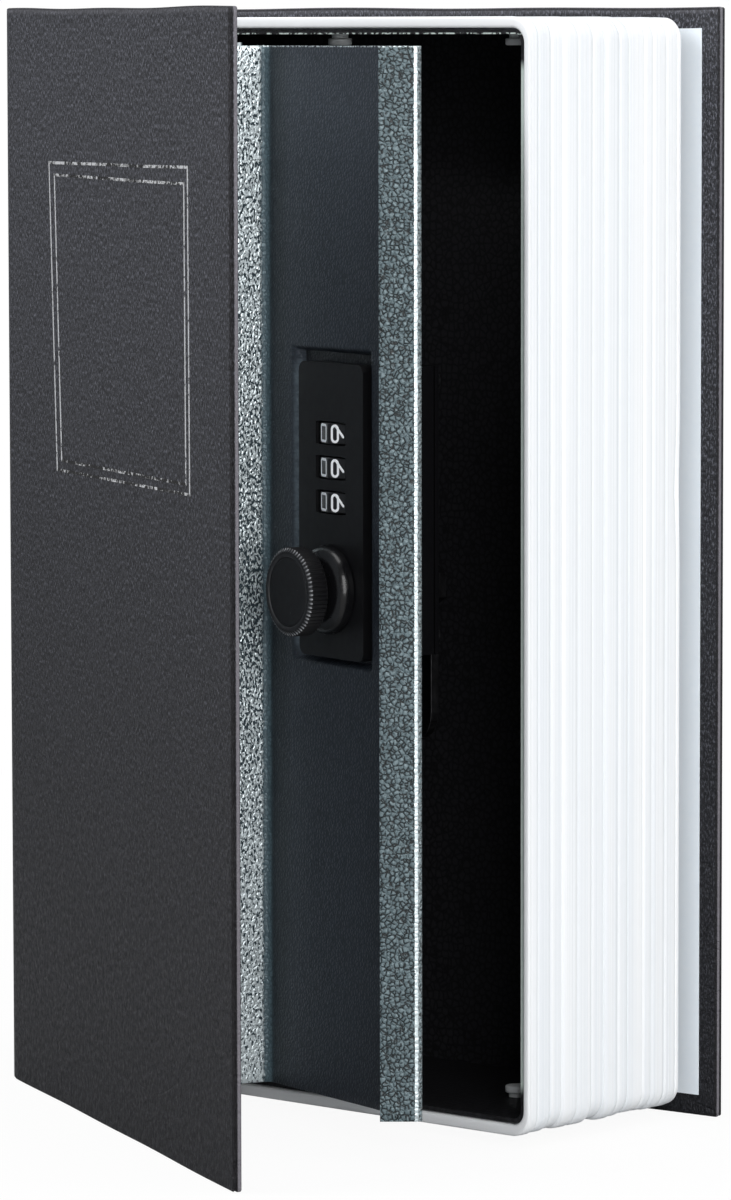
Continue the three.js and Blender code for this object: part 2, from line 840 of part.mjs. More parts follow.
// Fence: a bar with a tooth for each code disc, held clear of the gates
function addFence(lock) {
  const wall = -(faceWidth / 2 - caseInset - caseWall - clearance);
  const depth0 = wheelAxisDepth - fenceDepth / 2;
  const depth1 = wheelAxisDepth + fenceDepth / 2;
  const teeth = [];
  for (let i = 0; i < wheelCount; i += 1) {
    const discTop = wheelHeight(i) - wheelThickness / 2 - clearance;
    teeth.push(
      block(
        wall, -codeDiscRadius - fenceWithdrawn,
        wheelAxisDepth - gateWidth / 2 + clearance, wheelAxisDepth + gateWidth / 2 - clearance,
        discTop - codeDiscThickness + clearance, discTop - clearance,
      ),
    );
  }
  const bar = block(
    wall, wall + fenceThickness,
    depth0, depth1,
    shaftBottom + ribThickness + clearance, shaftTop - ribThickness - clearance,
  );
  add(lock, 'fence_bar', join(bar, ...teeth), brass);
}

// Collar: a domed ring on the faceplate, round the knob's neck
function addCollar(lock) {
  const base = faceFront - clearance;
  const inner = spindleRadius + clearance;
  const points = [new THREE.Vector2(inner, base)];
  for (let i = 0; i <= collarSteps; i += 1) {
    const turn = (Math.PI / 2) * (i / collarSteps);
    const radius = neckRadius + (collarRadius - neckRadius) * Math.cos(turn);
    points.push(new THREE.Vector2(radius, base - collarHeight * Math.sin(turn)));
  }
  points.push(new THREE.Vector2(inner, base - collarHeight));
  points.push(points[0].clone());
  const geometry = new THREE.LatheGeometry(points, roundSteps);
  geometry.translate(0, 0, knobHeight);
  add(lock, 'knob_collar', facingOut(geometry), blackPlastic);
}

// A closed turned shape whose faces are all turned outwards
function facingOut(geometry) {
  const merged = bareMesh(geometry);
  const at = merged.attributes.position;
  const order = merged.index;
  const a = new THREE.Vector3();
  const b = new THREE.Vector3();
  const c = new THREE.Vector3();
  let volume = 0;
  for (let i = 0; i < order.count; i += 3) {
    a.fromBufferAttribute(at, order.getX(i));
    b.fromBufferAttribute(at, order.getX(i + 1));
    c.fromBufferAttribute(at, order.getX(i + 2));
    volume += a.dot(b.cross(c));
  }
  if (volume < 0) {
    for (let i = 0; i < order.count; i += 3) {
      const first = order.getX(i);
      order.setX(i, order.getX(i + 1));
      order.setX(i + 1, first);
    }
  }
  merged.computeVertexNormals();
  return merged;
}

// Knob: a knurled rim with a neck behind it and a blind socket for the spindle
function addKnob(lock) {
  const front = -knobReach;
  const rimBack = front + knobRim;
  const neckBack = faceFront - collarHeight - 2 * clearance;
  const socketFront = neckBack - spindleGrip - clearance;
  const outline = [];
  for (let i = 0; i < knurlCount * 2; i += 1) {
    const turn = (Math.PI * i) / knurlCount;
    const radius = i % 2 === 0 ? knobRadius : knobRadius - knurlDepth;
    outline.push(new THREE.Vector2(radius * Math.cos(turn), knobHeight + radius * Math.sin(turn)));
  }
  const knob = cut(
    join(
      across(new THREE.Shape(outline), front, rimBack),
      barAlongY(neckRadius, 0, knobHeight, rimBack - overrun, neckBack),
    ),
    barAlongY(spindleRadius + clearance, 0, knobHeight, socketFront, neckBack + overrun),
  );
  add(lock, 'knob', knob, blackPlastic);
  const spindleEnd = camFront + camThickness + nutThickness + 3 * clearance;
  add(
    lock,
    'knob_spindle',
    barAlongY(spindleRadius, 0, knobHeight, neckBack - spindleGrip, spindleEnd),
    zincSteel,
  );
}

// Latch: a flat cam that hangs down when the lock is open, and the nut that holds it on the spindle
function addLatch(lock) {
  const camBack = camFront + camThickness;
  const nutFront = camBack + clearance;
  const half = camWidth / 2;
  const outline = new THREE.Shape();
  outline.absarc(0, knobHeight, half, 0, Math.PI);
  outline.lineTo(-half, knobHeight - camLength + half);
  outline.absarc(0, knobHeight - camLength + half, half, Math.PI, Math.PI * 2);
  outline.lineTo(half, knobHeight);
  const holeEnd = nutFront + nutThickness + overrun;
  const hole = barAlongY(spindleRadius + clearance, 0, knobHeight, camFront - overrun, holeEnd);
  add(lock, 'latch_cam', cut(across(outline, camFront, camBack), hole), zincSteel);
  const nut = barAlongY(nutRadius, 0, knobHeight, nutFront, nutFront + nutThickness, nutSides);
  add(lock, 'cam_nut', cut(nut, hole), zincSteel);
}

addBackCover(safe);
addSpine(safe);
addFrontJoint(safe);
addPageShell(safe);
addSteelBox(safe);
addStuds(safe);
addBushes(safe);
addKeeper(safe);

const frontCover = new THREE.Group();
frontCover.position.set(...coverAxis, 0);
frontCover.rotation.z = -THREE.MathUtils.degToRad(coverOpenDeg);
safe.add(frontCover);
addFrontCover(frontCover);

const door = new THREE.Group();
door.position.set(...doorAxis, 0);
door.rotation.z = -THREE.MathUtils.degToRad(doorOpenDeg);
safe.add(door);
addDoor(door);
addPivots(door);

const lock = new THREE.Group();
lock.position.set(lockX, panelFront, 0);
door.add(lock);
addFaceplate(lock);
addLockCase(lock);
addBackPlate(lock);
addChangeSlider(lock);
addWheels(lock);
addDetents(lock);
addFence(lock);
addCollar(lock);
addKnob(lock);
addLatch(lock);

export default safe;
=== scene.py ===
"""Looks of a book safe: leatherette covers, a white page block, a black steel box and a hammered steel door.

Sizes are millimetres in the frame's own axes, with X from the spine to the page edges, Y from the front cover
to the back cover and Z up the book, and they become metres when a mesh is made. Each new piece is a set of
grids of points worked out from formulas and merged along their edges."""
import json
import math

import bmesh
import bpy
import numpy as np
from mathutils import Matrix, Vector


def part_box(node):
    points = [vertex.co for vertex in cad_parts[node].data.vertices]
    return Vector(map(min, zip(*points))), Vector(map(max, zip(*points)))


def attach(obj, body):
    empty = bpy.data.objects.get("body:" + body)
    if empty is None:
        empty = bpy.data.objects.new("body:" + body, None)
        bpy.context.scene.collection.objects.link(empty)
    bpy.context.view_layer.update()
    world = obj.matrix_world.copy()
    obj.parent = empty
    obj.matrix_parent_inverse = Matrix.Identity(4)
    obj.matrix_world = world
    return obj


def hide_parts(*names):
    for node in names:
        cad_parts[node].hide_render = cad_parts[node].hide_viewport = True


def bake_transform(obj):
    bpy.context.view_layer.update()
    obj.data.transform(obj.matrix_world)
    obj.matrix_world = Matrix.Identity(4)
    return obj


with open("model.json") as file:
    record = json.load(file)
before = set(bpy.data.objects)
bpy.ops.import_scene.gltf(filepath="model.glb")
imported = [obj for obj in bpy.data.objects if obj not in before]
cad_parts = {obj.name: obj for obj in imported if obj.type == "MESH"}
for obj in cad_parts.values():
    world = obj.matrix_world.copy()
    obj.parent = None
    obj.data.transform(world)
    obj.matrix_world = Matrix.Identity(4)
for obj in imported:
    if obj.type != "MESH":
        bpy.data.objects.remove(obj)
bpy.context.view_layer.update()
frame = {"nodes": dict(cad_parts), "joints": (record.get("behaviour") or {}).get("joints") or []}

MM = 0.001
MERGE_REACH = 2e-6
SEED = 11

# The photograph's viewpoint, fitted to the edges of the covers, the page block and the door
CAMERA_PLACE = (915.74, -1039.59, 235.07)
CAMERA_AZIMUTH = 41.9715
CAMERA_ELEVATION = 5.2296
CAMERA_ROLL = -0.1031
CAMERA_LENS = 186.65
CAMERA_SENSOR = 36
CAMERA_CLIP = (0.05, 20)

# Studio, in metres
AIM = (0.0, -0.05, 0.12)
FLOOR_HALF = 6
FLOOR_LEVEL = -0.0002

# Covers
COVER_HEIGHT = 240
WRAP = 0.4
COVER_THICKNESS = 2.2
COVER_EDGE = 0.6
TURN_IN = 12
TURN_IN_DEPTH = 0.22
TURN_IN_LEAF = 0.12
PAPER_INSET = 4.5
PAPER = 0.2
COVER_WAVE = 0.22
COVER_COLUMNS = 49
COVER_ROWS = 61
CORNER_POINTS = 5
GROOVE_SHARE = 0.7
GROOVE_WIDTH = 0.14
GROOVE_DEPTH = 0.55
BACK_GAP = 0.3
BACK_WAVE_SHIFT = 40
SPINE_WAVE_SHIFT = 90
SPINE_FACE = -0.2
REAR_JOINT_DIP = 0.3
BACK_BOW = 4.3
BACK_BOW_LENGTH = 72.2

# Front cover, in its own leaf: X from the hinge to the free edge, Y into the book
FRONT_START = 6.7
FRONT_INNER = 3.4
JOINT_MEETS_COVER = 9.5
JOINT_PULL = 2.1
JOINT_THICKNESS = 0.8
SPINE_FRONT_ON_LEAF = (-1.09, -1.145)
SPINE_TANGENT_ON_LEAF = (0.4617, -0.887)

# Worn foil frame on the front cover, as the corners of its outer and inner lines
FOIL_OUTER = ((38.6, 206.6), (131.6, 207.3), (132.2, 140.4), (43.2, 139.8))
FOIL_INNER = ((42.4, 204.0), (129.3, 203.9), (129.8, 142.4), (46.4, 142.0))
FOIL_LINE = 0.62
FOIL_THICKNESS = 0.03
FOIL_SUNK = 0.004

# Page block
BLOCK_WALL_TOP = 2.4
BLOCK_WALL_SIDE = 1.6
BLOCK_INNER_CORNER = 3.3
BLOCK_CORNER = 5
BLOCK_DENT = (137, 49.6)
BLOCK_DENT_SIZE = (9, 1.1)
BLOCK_DENT_DEPTH = 0.5
PAGE_PITCH = 0.93
BUNDLE_EDGES = (0, 3.3, 7.6, 11.5, 16.2, 21.1, 25.4, 29.7, 33.0, 38.6, 41.2, 45.5, 49.5, 50.7)
PAGE_ROWS = 230

# Studs that hold the steel box in the block
STUD_RADIUS = 1.8
STUD_HEAD_RADIUS = 2.6
STUD_HEAD_HEIGHT = 1.5
STUD_ROUNDING = (0.1, 0.15, 0.3, 0.35)

# Door, in its own leaf: X from the pivot to the free edge, Y into the box
DOOR_LOW = 8.1
DOOR_HIGH = 231.9
DOOR_SHEET = 1
DOOR_CORNERS = ((4.5, -2.5), (71.6, -2.5), (72.9, 6.6), (133.3, 6.6), (128.3, -1.1))
DOOR_BENDS = (2, 2, 1)
DOOR_CUT = 0.12
DOOR_CUT_ANGLE = 60
EAR_LENGTH = 69
EAR_BACK = 2.7
EAR_HOLE = 1.8
EAR_LIFT = 0.7
EAR_STEP = (4.5, -3)

# Lock, in the door's leaf: X from the lock's middle, Y from the panel's front face. FINE_ACROSS and FINE_UP
# bound the finely divided part of the door, from its pivot and from the frame's zero.
LOCK_ACROSS = 100.5
PANEL_FRONT = 6.1
FACE_MIDDLE = 134
POCKET_DEPTH = 2
POCKET_LEFT = (-17.4, -14.4)
POCKET_RIGHT = (14.2, 13.3)
POCKET_BOTTOM = (-33.4, -32.0)
POCKET_TOP = (34.6, 33.6)
HOLE_HALF_WIDTH = 10
HOLE_HALF_HEIGHT = 28.75
FINE_ACROSS = (82.5, 116)
FINE_UP = (99, 169.5)
FACE_FRONT = -1.3
KNOB_HEIGHT = 117.3
KNOB_RADIUS = 9.4
KNOB_FRONT = -12.3
KNOB_RIM = 4.8
KNOB_BACK = -6.1
KNOB_NECK = 5.2
KNURLS = 62
KNURL_DEPTH = 0.42
KNURL_STEPS = 8
SOCKET_RADIUS = 3.3
SOCKET_END = -9.4
COLLAR_RADIUS = 9.5
COLLAR_HEIGHT = 4.2
COLLAR_FOOT = 0.5
COLLAR_LIFT = 0.3
WHEEL_RADIUS = 8.5
WHEEL_DEPTH = 6.2
WHEEL_HALF_THICKNESS = 2.2
WHEEL_BORE = 1.9
WHEEL_EASING = 0.2
WHEEL_TURN = -14
WHEEL_HEIGHTS = (150.4, 143.1, 135.8)
FACETS = 10
DIGIT_LINE = 0.56
DIGIT_SHIFT = 0.3
DIGIT_THICKNESS = 0.04

# Patterns per metre
GRAIN_SCALE = 1500.0
DOOR_CELL_SCALE = 1020.0
BOX_CELL_SCALE = 620.0

# Finish of the frame's own nodes
WELD_REACH = 1e-6
EASED_ANGLE = 32


# Places and shapes

def zipped(*parts):
    """Coordinates that broadcast against each other, as the last axis of one array."""
    return np.stack(np.broadcast_arrays(*parts), -1)


def extent(node):
    """A CAD node's lowest and highest corner in millimetres."""
    low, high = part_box(node)
    return np.array(low) / MM, np.array(high) / MM


def leaf(joint_name):
    """Gives a function that turns places along a hinged leaf, into it and up it into the frame's axes.
    The leaf's pivot and its opening from closed are its joint's."""
    joint = next(j for j in frame["joints"] if j["name"] == joint_name)
    pivot = np.array(joint["pos_m"]) / MM
    opening = math.radians(-joint["range_deg"][0])
    c, s = math.cos(opening), math.sin(opening)

    def place(across, into, up):
        return zipped(pivot[0] + across * c + into * s, pivot[1] - across * s + into * c, up)

    return place


on_cover = leaf("cover_hinge")
on_door = leaf("door_hinge")


def on_lock(across, into, up):
    """A place on the lock, measured from its middle line and from the door panel's front."""
    return on_door(LOCK_ACROSS + across, PANEL_FRONT + into, up)


def smooth(low, high, value):
    """Rises from 0 at low to 1 at high, flat at both ends."""
    t = np.clip((value - low) / (high - low), 0, 1)
    return t * t * (3 - 2 * t)


def stations(*stretches):
    """Rising places made of evenly divided stretches, each given as start, end and number of steps."""
    return np.unique(np.round(np.concatenate([np.linspace(a, b, n + 1) for a, b, n in stretches]), 5))


def rounded_path(corners, radii, steps):
    """A path through the corners, in which each inner corner is an arc of its own radius."""
    corners = np.array(corners, float)
    path = [corners[:1]]
    for before, here, after, radius in zip(corners, corners[1:], corners[2:], radii):
        back, on = before - here, after - here
        back, on = back / np.linalg.norm(back), on / np.linalg.norm(on)
        half = math.acos(np.clip(back @ on, -1, 1)) / 2
        centre = here + (back + on) / np.linalg.norm(back + on) * radius / math.sin(half)
        start = here + back * radius / math.tan(half) - centre
        end = here + on * radius / math.tan(half) - centre
        turn = math.atan2(start[0] * end[1] - start[1] * end[0], start @ end)
        angle = np.linspace(0, turn, steps + 1)
        x = start[0] * np.cos(angle) - start[1] * np.sin(angle)
        y = start[0] * np.sin(angle) + start[1] * np.cos(angle)
        path.append(zipped(x, y) + centre)
    path.append(corners[-1:])
    return np.concatenate(path)


def lengths(path):
    """How far along a path each of its points lies."""
    return np.concatenate([[0], np.cumsum(np.linalg.norm(np.diff(path, axis=0), axis=1))])


def directions(path, joined=False):
    """The unit directions along a path and to its left at each of its points."""
    along = np.gradient(path, axis=0)
    if joined:
        along[0] = along[-1] = path[1] - path[-2]
    along /= np.maximum(np.linalg.norm(along, axis=1), 1e-9)[:, None]
    return along, zipped(-along[:, 1], along[:, 0])


def lattice(rows, columns):
    """The corner numbers of a grid's quads, row by row."""
    i, j = np.meshgrid(np.arange(rows - 1), np.arange(columns - 1), indexing="ij")
    first = (i * columns + j).ravel()
    return zipped(first, first + columns, first + columns + 1, first + 1)


def placed(name, data):
    """A new object in the scene."""
    made = bpy.data.objects.new(name, data)
    bpy.context.scene.collection.objects.link(made)
    return made


def piece(name, grids, finish, body, caps=(), crease=35, stands_for=(), dress=None):
    """Makes one welded mesh out of grids of points, each given with its UV in millimetres and, if some of its
    quads are left out, a mask. A third UV value is kept as the attribute "edge". Caps are rings of points,
    each closed by one flat face. dress may add modifiers."""
    points, uvs, faces, first = [], [], [], 0
    for grid in grids:
        at, uv = grid[0], grid[1]
        quads = lattice(*at.shape[:2])
        if len(grid) > 2:
            quads = quads[grid[2].ravel()]
        points.append(at.reshape(-1, 3))
        uv = np.broadcast_to(uv, at.shape[:2] + uv.shape[-1:]).reshape(-1, uv.shape[-1])
        uvs.append(np.pad(uv, ((0, 0), (0, 3 - uv.shape[-1]))))
        faces += (quads + first).tolist()
        first += len(points[-1])
    for ring in caps:
        points.append(ring)
        uvs.append(np.zeros((len(ring), 3)))
        faces.append(list(range(first, first + len(ring))))
        first += len(ring)
    mesh = bpy.data.meshes.new(name)
    mesh.from_pydata((np.concatenate(points) * MM).tolist(), [], faces)
    corner = np.zeros(len(mesh.loops), np.int32)
    mesh.loops.foreach_get("vertex_index", corner)
    uvs = np.concatenate(uvs)[corner]
    layer = mesh.uv_layers.new(name="surface")
    layer.data.foreach_set("uv", (uvs[:, :2] * MM).astype(np.float32).ravel())
    layer = mesh.attributes.new("edge", "FLOAT", "CORNER")
    layer.data.foreach_set("value", uvs[:, 2].astype(np.float32))
    work = bmesh.new()
    work.from_mesh(mesh)
    bmesh.ops.remove_doubles(work, verts=work.verts, dist=MERGE_REACH)
    bmesh.ops.recalc_face_normals(work, faces=work.faces)
    work.to_mesh(mesh)
    work.free()
    mesh.materials.append(finish)
    mesh.shade_smooth()
    mesh.set_sharp_from_angle(angle=math.radians(crease))
    made = placed(name, mesh)
    if dress:
        dress(made)
    if stands_for:
        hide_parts(*stands_for)
    if body:
        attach(made, body)
    return made


def turned(profile, place, sides, wave=None, edge=0.0):
    """A profile of (radius, depth) points turned about an axis. place puts (x, depth, z) in the frame, wave
    gives how much each point's radius shrinks at each angle, and edge is kept as the third UV value."""
    angle = np.linspace(0, 2 * np.pi, sides + 1)
    radius = np.array([p[0] for p in profile], float)[:, None] * np.ones(sides + 1)
    if wave is not None:
        radius = radius - wave(angle)
    depth = np.array([p[1] for p in profile], float)[:, None]
    uv = np.zeros(radius.shape + (3,))
    uv[..., 2] = edge
    return place(radius * np.cos(angle), depth, radius * np.sin(angle)), uv


# Shader nodes

def linear(tone):
    """An sRGB colour of three parts from 0 to 255 as linear light. Anything else is given back as it is."""
    if isinstance(tone, bpy.types.NodeSocket) or len(tone) == 4:
        return tone
    share = np.array(tone) / 255
    return (*np.where(share <= 0.04045, share / 12.92, ((share + 0.055) / 1.055) ** 2.4).tolist(), 1)


class Nodes:
    """Adds nodes to one tree. A value that is a socket is linked, and any other is set on the input itself.
    Noise scales are patterns per metre."""

    def __init__(self, tree):
        self.tree = tree

    def fill(self, node, values):
        for key, value in values.items():
            if isinstance(value, bpy.types.NodeSocket):
                self.tree.links.new(value, node.inputs[key])
            else:
                node.inputs[key].default_value = value

    def add(self, kind, values=None, **settings):
        node = self.tree.nodes.new("ShaderNode" + kind)
        for key, setting in settings.items():
            setattr(node, key, setting)
        self.fill(node, values or {})
        return node.outputs

    def sums(self, operation, a, b=0):
        return self.add("Math", {0: a, 1: b}, operation=operation)[0]

    def times(self, a, b):
        return self.sums("MULTIPLY", a, b)

    def plus(self, a, b):
        return self.sums("ADD", a, b)

    def minus(self, a, b):
        return self.sums("SUBTRACT", a, b)

    def most(self, a, b):
        return self.sums("MAXIMUM", a, b)

    def away(self, value, middle):
        """How far a value is from the middle, on either side."""
        return self.sums("ABSOLUTE", self.minus(value, middle))

    def spread(self, value, low, high, to_low=0, to_high=1):
        """A value that goes smoothly from to_low to to_high as the given one goes from low to high."""
        values = {"Value": value, "From Min": low, "From Max": high, "To Min": to_low, "To Max": to_high}
        return self.add("MapRange", values, interpolation_type="SMOOTHSTEP")["Result"]

    def window(self, value, start, full, fading, gone):
        """1 from full to fading, and 0 before start and after gone."""
        return self.times(self.spread(value, start, full), self.spread(value, fading, gone, 1, 0))

    def mixed(self, share, a, b):
        return self.add("Mix", {0: share, 6: linear(a), 7: linear(b)}, data_type="RGBA")[2]

    def layered(self, tone, *layers):
        """A colour under layers, each given as the share of it that covers and its own colour."""
        for share, over in layers:
            tone = self.mixed(share, tone, over)
        return tone

    def cloud(self, place, scale, detail=3, roughness=0.55, distortion=0):
        """Noise from 0 to 1."""
        values = {"Vector": place, "Scale": scale, "Detail": detail, "Roughness": roughness,
                  "Distortion": distortion}
        return self.add("TexNoise", values)["Fac"]

    def wandering(self, place, scale, low, high):
        """A value that drifts between low and high."""
        return self.spread(self.cloud(place, scale), 0.3, 0.7, low, high)

    def stretched(self, place, share):
        """A place multiplied part by part, which stretches a pattern where the share is small."""
        return self.add("VectorMath", {0: place, 1: share}, operation="MULTIPLY")[0]

    def on_object(self):
        return self.add("TexCoord")["Object"]

    def on_surface(self):
        return self.add("UVMap", uv_map="surface")["UV"]

    def part(self, place, axis):
        return self.add("SeparateXYZ", {0: place})[axis]

    def edge(self):
        """The piece's own third UV value."""
        return self.add("Attribute", attribute_name="edge")["Fac"]

    def bump(self, height, distance, strength=1):
        return self.add("Bump", {"Height": height, "Distance": distance, "Strength": strength})[0]

    def use(self, group, place, scale):
        return self.add("Group", {"Vector": place, "Scale": scale}, node_tree=group)


def effect(name, outputs, build):
    """A node group that turns a place and a scale into values. build(nodes, inputs) gives its outputs."""
    tree = bpy.data.node_groups.new(name, "ShaderNodeTree")
    for label, kind in (("Vector", "NodeSocketVector"), ("Scale", "NodeSocketFloat")):
        tree.interface.new_socket(label, in_out="INPUT", socket_type=kind)
    for label in outputs:
        tree.interface.new_socket(label, in_out="OUTPUT", socket_type="NodeSocketFloat")
    entry = tree.nodes.new("NodeGroupInput")
    leave = tree.nodes.new("NodeGroupOutput")
    nodes = Nodes(tree)
    nodes.fill(leave, build(nodes, entry.outputs))
    return tree


def material(name, build, *values, **settings):
    """A Principled material. build(nodes, ...) gives the shader's inputs, as sockets or plain values."""
    made = bpy.data.materials.new(name)
    made.use_nodes = True
    nodes = Nodes(made.node_tree)
    nodes.fill(made.node_tree.nodes["Principled BSDF"], build(nodes, *values, **settings))
    return made


# Effects that several finishes share

def mottle_nodes(n, entry):
    return {"Value": n.spread(n.cloud(entry["Vector"], entry["Scale"], 4), 0.3, 0.7)}


def grain_nodes(n, entry):
    """Leather grain: fine pebbles, longer up the book than across it, broken by a coarser noise."""
    along = n.stretched(entry["Vector"], (1, 0.42, 1))
    pebbles = n.add("TexVoronoi", {"Vector": along, "Scale": entry["Scale"]}, feature="SMOOTH_F1")
    fibres = n.cloud(along, n.times(entry["Scale"], 1.9), 3, 0.65)
    soft = n.minus(1, pebbles["Distance"])
    height = n.plus(n.times(soft, 0.45), n.times(fibres, 0.75))
    return {"Height": height, "Crest": n.spread(height, 0.72, 0.98)}


def hammer_nodes(n, entry):
    """Hammered paint: low round domes with soft sunk outlines, whose edges wander a little."""
    wander = n.add("TexNoise", {"Vector": entry["Vector"], "Scale": 1400, "Detail": 2})["Color"]
    shift = n.add("VectorMath", {0: wander, 3: 0.00045}, operation="SCALE")[0]
    moved = n.add("VectorMath", {0: entry["Vector"], 1: shift}, operation="ADD")[0]
    values = {"Vector": moved, "Scale": entry["Scale"], "Randomness": 0.9}
    edge = n.add("TexVoronoi", values, feature="DISTANCE_TO_EDGE")["Distance"]
    cell = n.add("TexVoronoi", values, feature="F1")
    dome = n.minus(n.spread(edge, 0, 0.3), n.times(cell["Distance"], 0.5))
    tint = n.add("SeparateColor", {0: cell["Color"]})[0]
    return {"Height": dome, "Outline": n.spread(edge, 0, 0.24, 1, 0), "Tint": tint}


mottle = effect("mottle", ["Value"], mottle_nodes)
grain = effect("leather_grain", ["Height", "Crest"], grain_nodes)
hammer = effect("hammered_cells", ["Height", "Outline", "Tint"], hammer_nodes)


# Finishes

def leatherette(n):
    """Bluish black leather with painted light: paler up the book, darker towards the bottom, with a painted
    highlight along the top edge and painted highlights on the grain's crests. Round a cover's edge it has a
    painted shadow in the crease beside the outer face and along its inner side, and a painted highlight on
    the ridge behind the crease."""
    place = n.on_surface()
    height = n.part(place, "Y")
    strokes = n.stretched(place, (1, 0.38, 1))
    grained = n.use(grain, place, GRAIN_SCALE)
    clouds = n.use(mottle, place, 26)["Value"]
    edge = n.edge()
    # Painted shadow in the crease beside the outer face and along the edge's inner side
    crease = n.most(n.window(edge, 0, 0.03, 0.42, 0.54), n.spread(edge, 0.9, 0.95))
    # Painted highlight on the ridge behind the crease
    ridge = n.window(edge, 0.46, 0.6, 0.84, 0.93)
    tone = n.layered(
        n.mixed(clouds, (31, 32, 35), (38, 39, 43)),
        # Painted light: paler up the book
        (n.spread(height, 0, 0.23, 0, 0.7), (60, 61, 66)),
        (n.spread(n.cloud(strokes, 2900, 2, 0.6), 0.49, 0.65), (116, 118, 128)),
        (n.spread(n.cloud(strokes, 2300, 2, 0.6), 0.32, 0.47, 0.9, 0), (15, 15, 18)),
        # Painted highlights on the grain's crests
        (n.times(grained["Crest"], 0.7), (158, 160, 170)),
        # Painted shade: darker towards the bottom
        (n.spread(height, 0, 0.235, 0.78, 0.1), (6, 7, 14)),
        # Painted highlight along the face's top edge and over the top edge
        (n.spread(height, 0.2382, 0.2394, 0, 0.3), (118, 118, 124)),
        # Painted highlight on the ridge, then painted shadow in the crease
        (n.times(ridge, 0.7), (134, 131, 138)),
        (n.times(crease, 0.75), (17, 15, 18)))
    coarse = n.cloud(n.stretched(place, (1, 0.5, 1)), 520, 2)
    waves = n.cloud(n.stretched(place, (0.45, 1, 1)), 60, 3, 0.5, 1.4)
    creased = n.times(n.spread(n.away(waves, 0.5), 0, 0.05), n.spread(height, 0.02, 0.11, 0.35, 0))
    relief = n.plus(n.plus(grained["Height"], n.times(coarse, 0.35)), creased)
    return {"Base Color": tone, "Roughness": n.wandering(place, 700, 0.44, 0.66),
            "Normal": n.bump(relief, 0.0006), "Specular IOR Level": 0.28}


def foil(n, left, bare):
    """Silver foil, of which about the given share is left over a bare colour."""
    place = n.on_surface()
    level = n.plus(n.cloud(place, 520, 6, 0.75), n.times(n.cloud(place, 60, 2), 0.4))
    kept = n.spread(level, 0.92 - 0.4 * left, 1 - 0.4 * left)
    return {"Base Color": n.mixed(kept, bare, (238, 240, 243)), "Metallic": n.times(kept, 0.4),
            "Roughness": n.minus(0.56, n.times(kept, 0.22)),
            "Normal": n.bump(n.use(grain, place, GRAIN_SCALE)["Height"], 0.00012, 0.8)}


def endpaper(n):
    place = n.on_object()
    return {"Base Color": n.mixed(n.cloud(place, 700, 4, 0.7), (232, 241, 249), (240, 246, 251)),
            "Roughness": 0.8, "Normal": n.bump(n.cloud(place, 2200, 3, 0.7), 0.00003, 0.6),
            "Specular IOR Level": 0.25}


def greyboard(n):
    place = n.on_object()
    return {"Base Color": n.mixed(n.cloud(place, 1500, 5), (120, 112, 100), (150, 142, 128)),
            "Roughness": 0.9, "Normal": n.bump(n.cloud(place, 1800), 0.0001)}


def white_moulding(n):
    """White plastic with fine lines along the page edges: noise that changes only across the block."""
    across = n.stretched(n.on_object(), (0.02, 1, 0.004))
    fine = n.cloud(across, 1700, 2, 0.6)
    lines = n.plus(n.times(n.cloud(across, 260, 2, 0.5), 0.6), n.times(fine, 0.4))
    return {"Base Color": n.mixed(n.spread(lines, 0.35, 0.62), (226, 230, 234), (236, 238, 240)),
            "Roughness": 0.42, "Normal": n.bump(fine, 0.0001, 0.5), "Specular IOR Level": 0.4}


def white_nylon(n):
    place = n.on_object()
    return {"Base Color": n.mixed(n.cloud(place, 500), (222, 228, 230), (238, 240, 240)),
            "Roughness": 0.35, "Normal": n.bump(n.cloud(place, 1200), 0.00004)}


def box_paint(n, low, high):
    """Black hammered paint. The front edge of the box has painted highlights in dots along its top, and its
    edge beside the page edges has a pale painted reflection between the corners."""
    place = n.on_object()
    x, y, z = (n.part(place, axis) for axis in "XYZ")
    cells = n.use(hammer, place, BOX_CELL_SCALE)
    # Painted highlights in dots along the top of the front edge
    line = n.window(z, high[2] - 0.0012, high[2] - 0.001, high[2] - 0.0008, high[2] - 0.0006)
    dots = n.times(line, n.spread(n.cloud(place, 900, 2), 0.46, 0.58))
    # Pale painted reflection on the front edge beside the page edges
    fore = n.times(n.spread(x, high[0] - 0.0013, high[0] - 0.0011),
                   n.window(z, low[2] + 0.006, low[2] + 0.009, high[2] - 0.009, high[2] - 0.006))
    front = n.spread(y, low[1] + 0.0003, low[1] + 0.0006, 1, 0)
    # Painted highlight and reflection on the front edge, pale and slightly metallic
    painted_highlight = n.times(front, n.most(dots, fore))
    tone = n.layered((34, 34, 37), (cells["Outline"], (20, 20, 22)), (painted_highlight, (196, 208, 203)))
    return {"Base Color": tone, "Roughness": 0.5, "Metallic": n.times(painted_highlight, 0.2),
            "Normal": n.bump(cells["Height"], 0.00006, 0.5), "Specular IOR Level": 0.2}


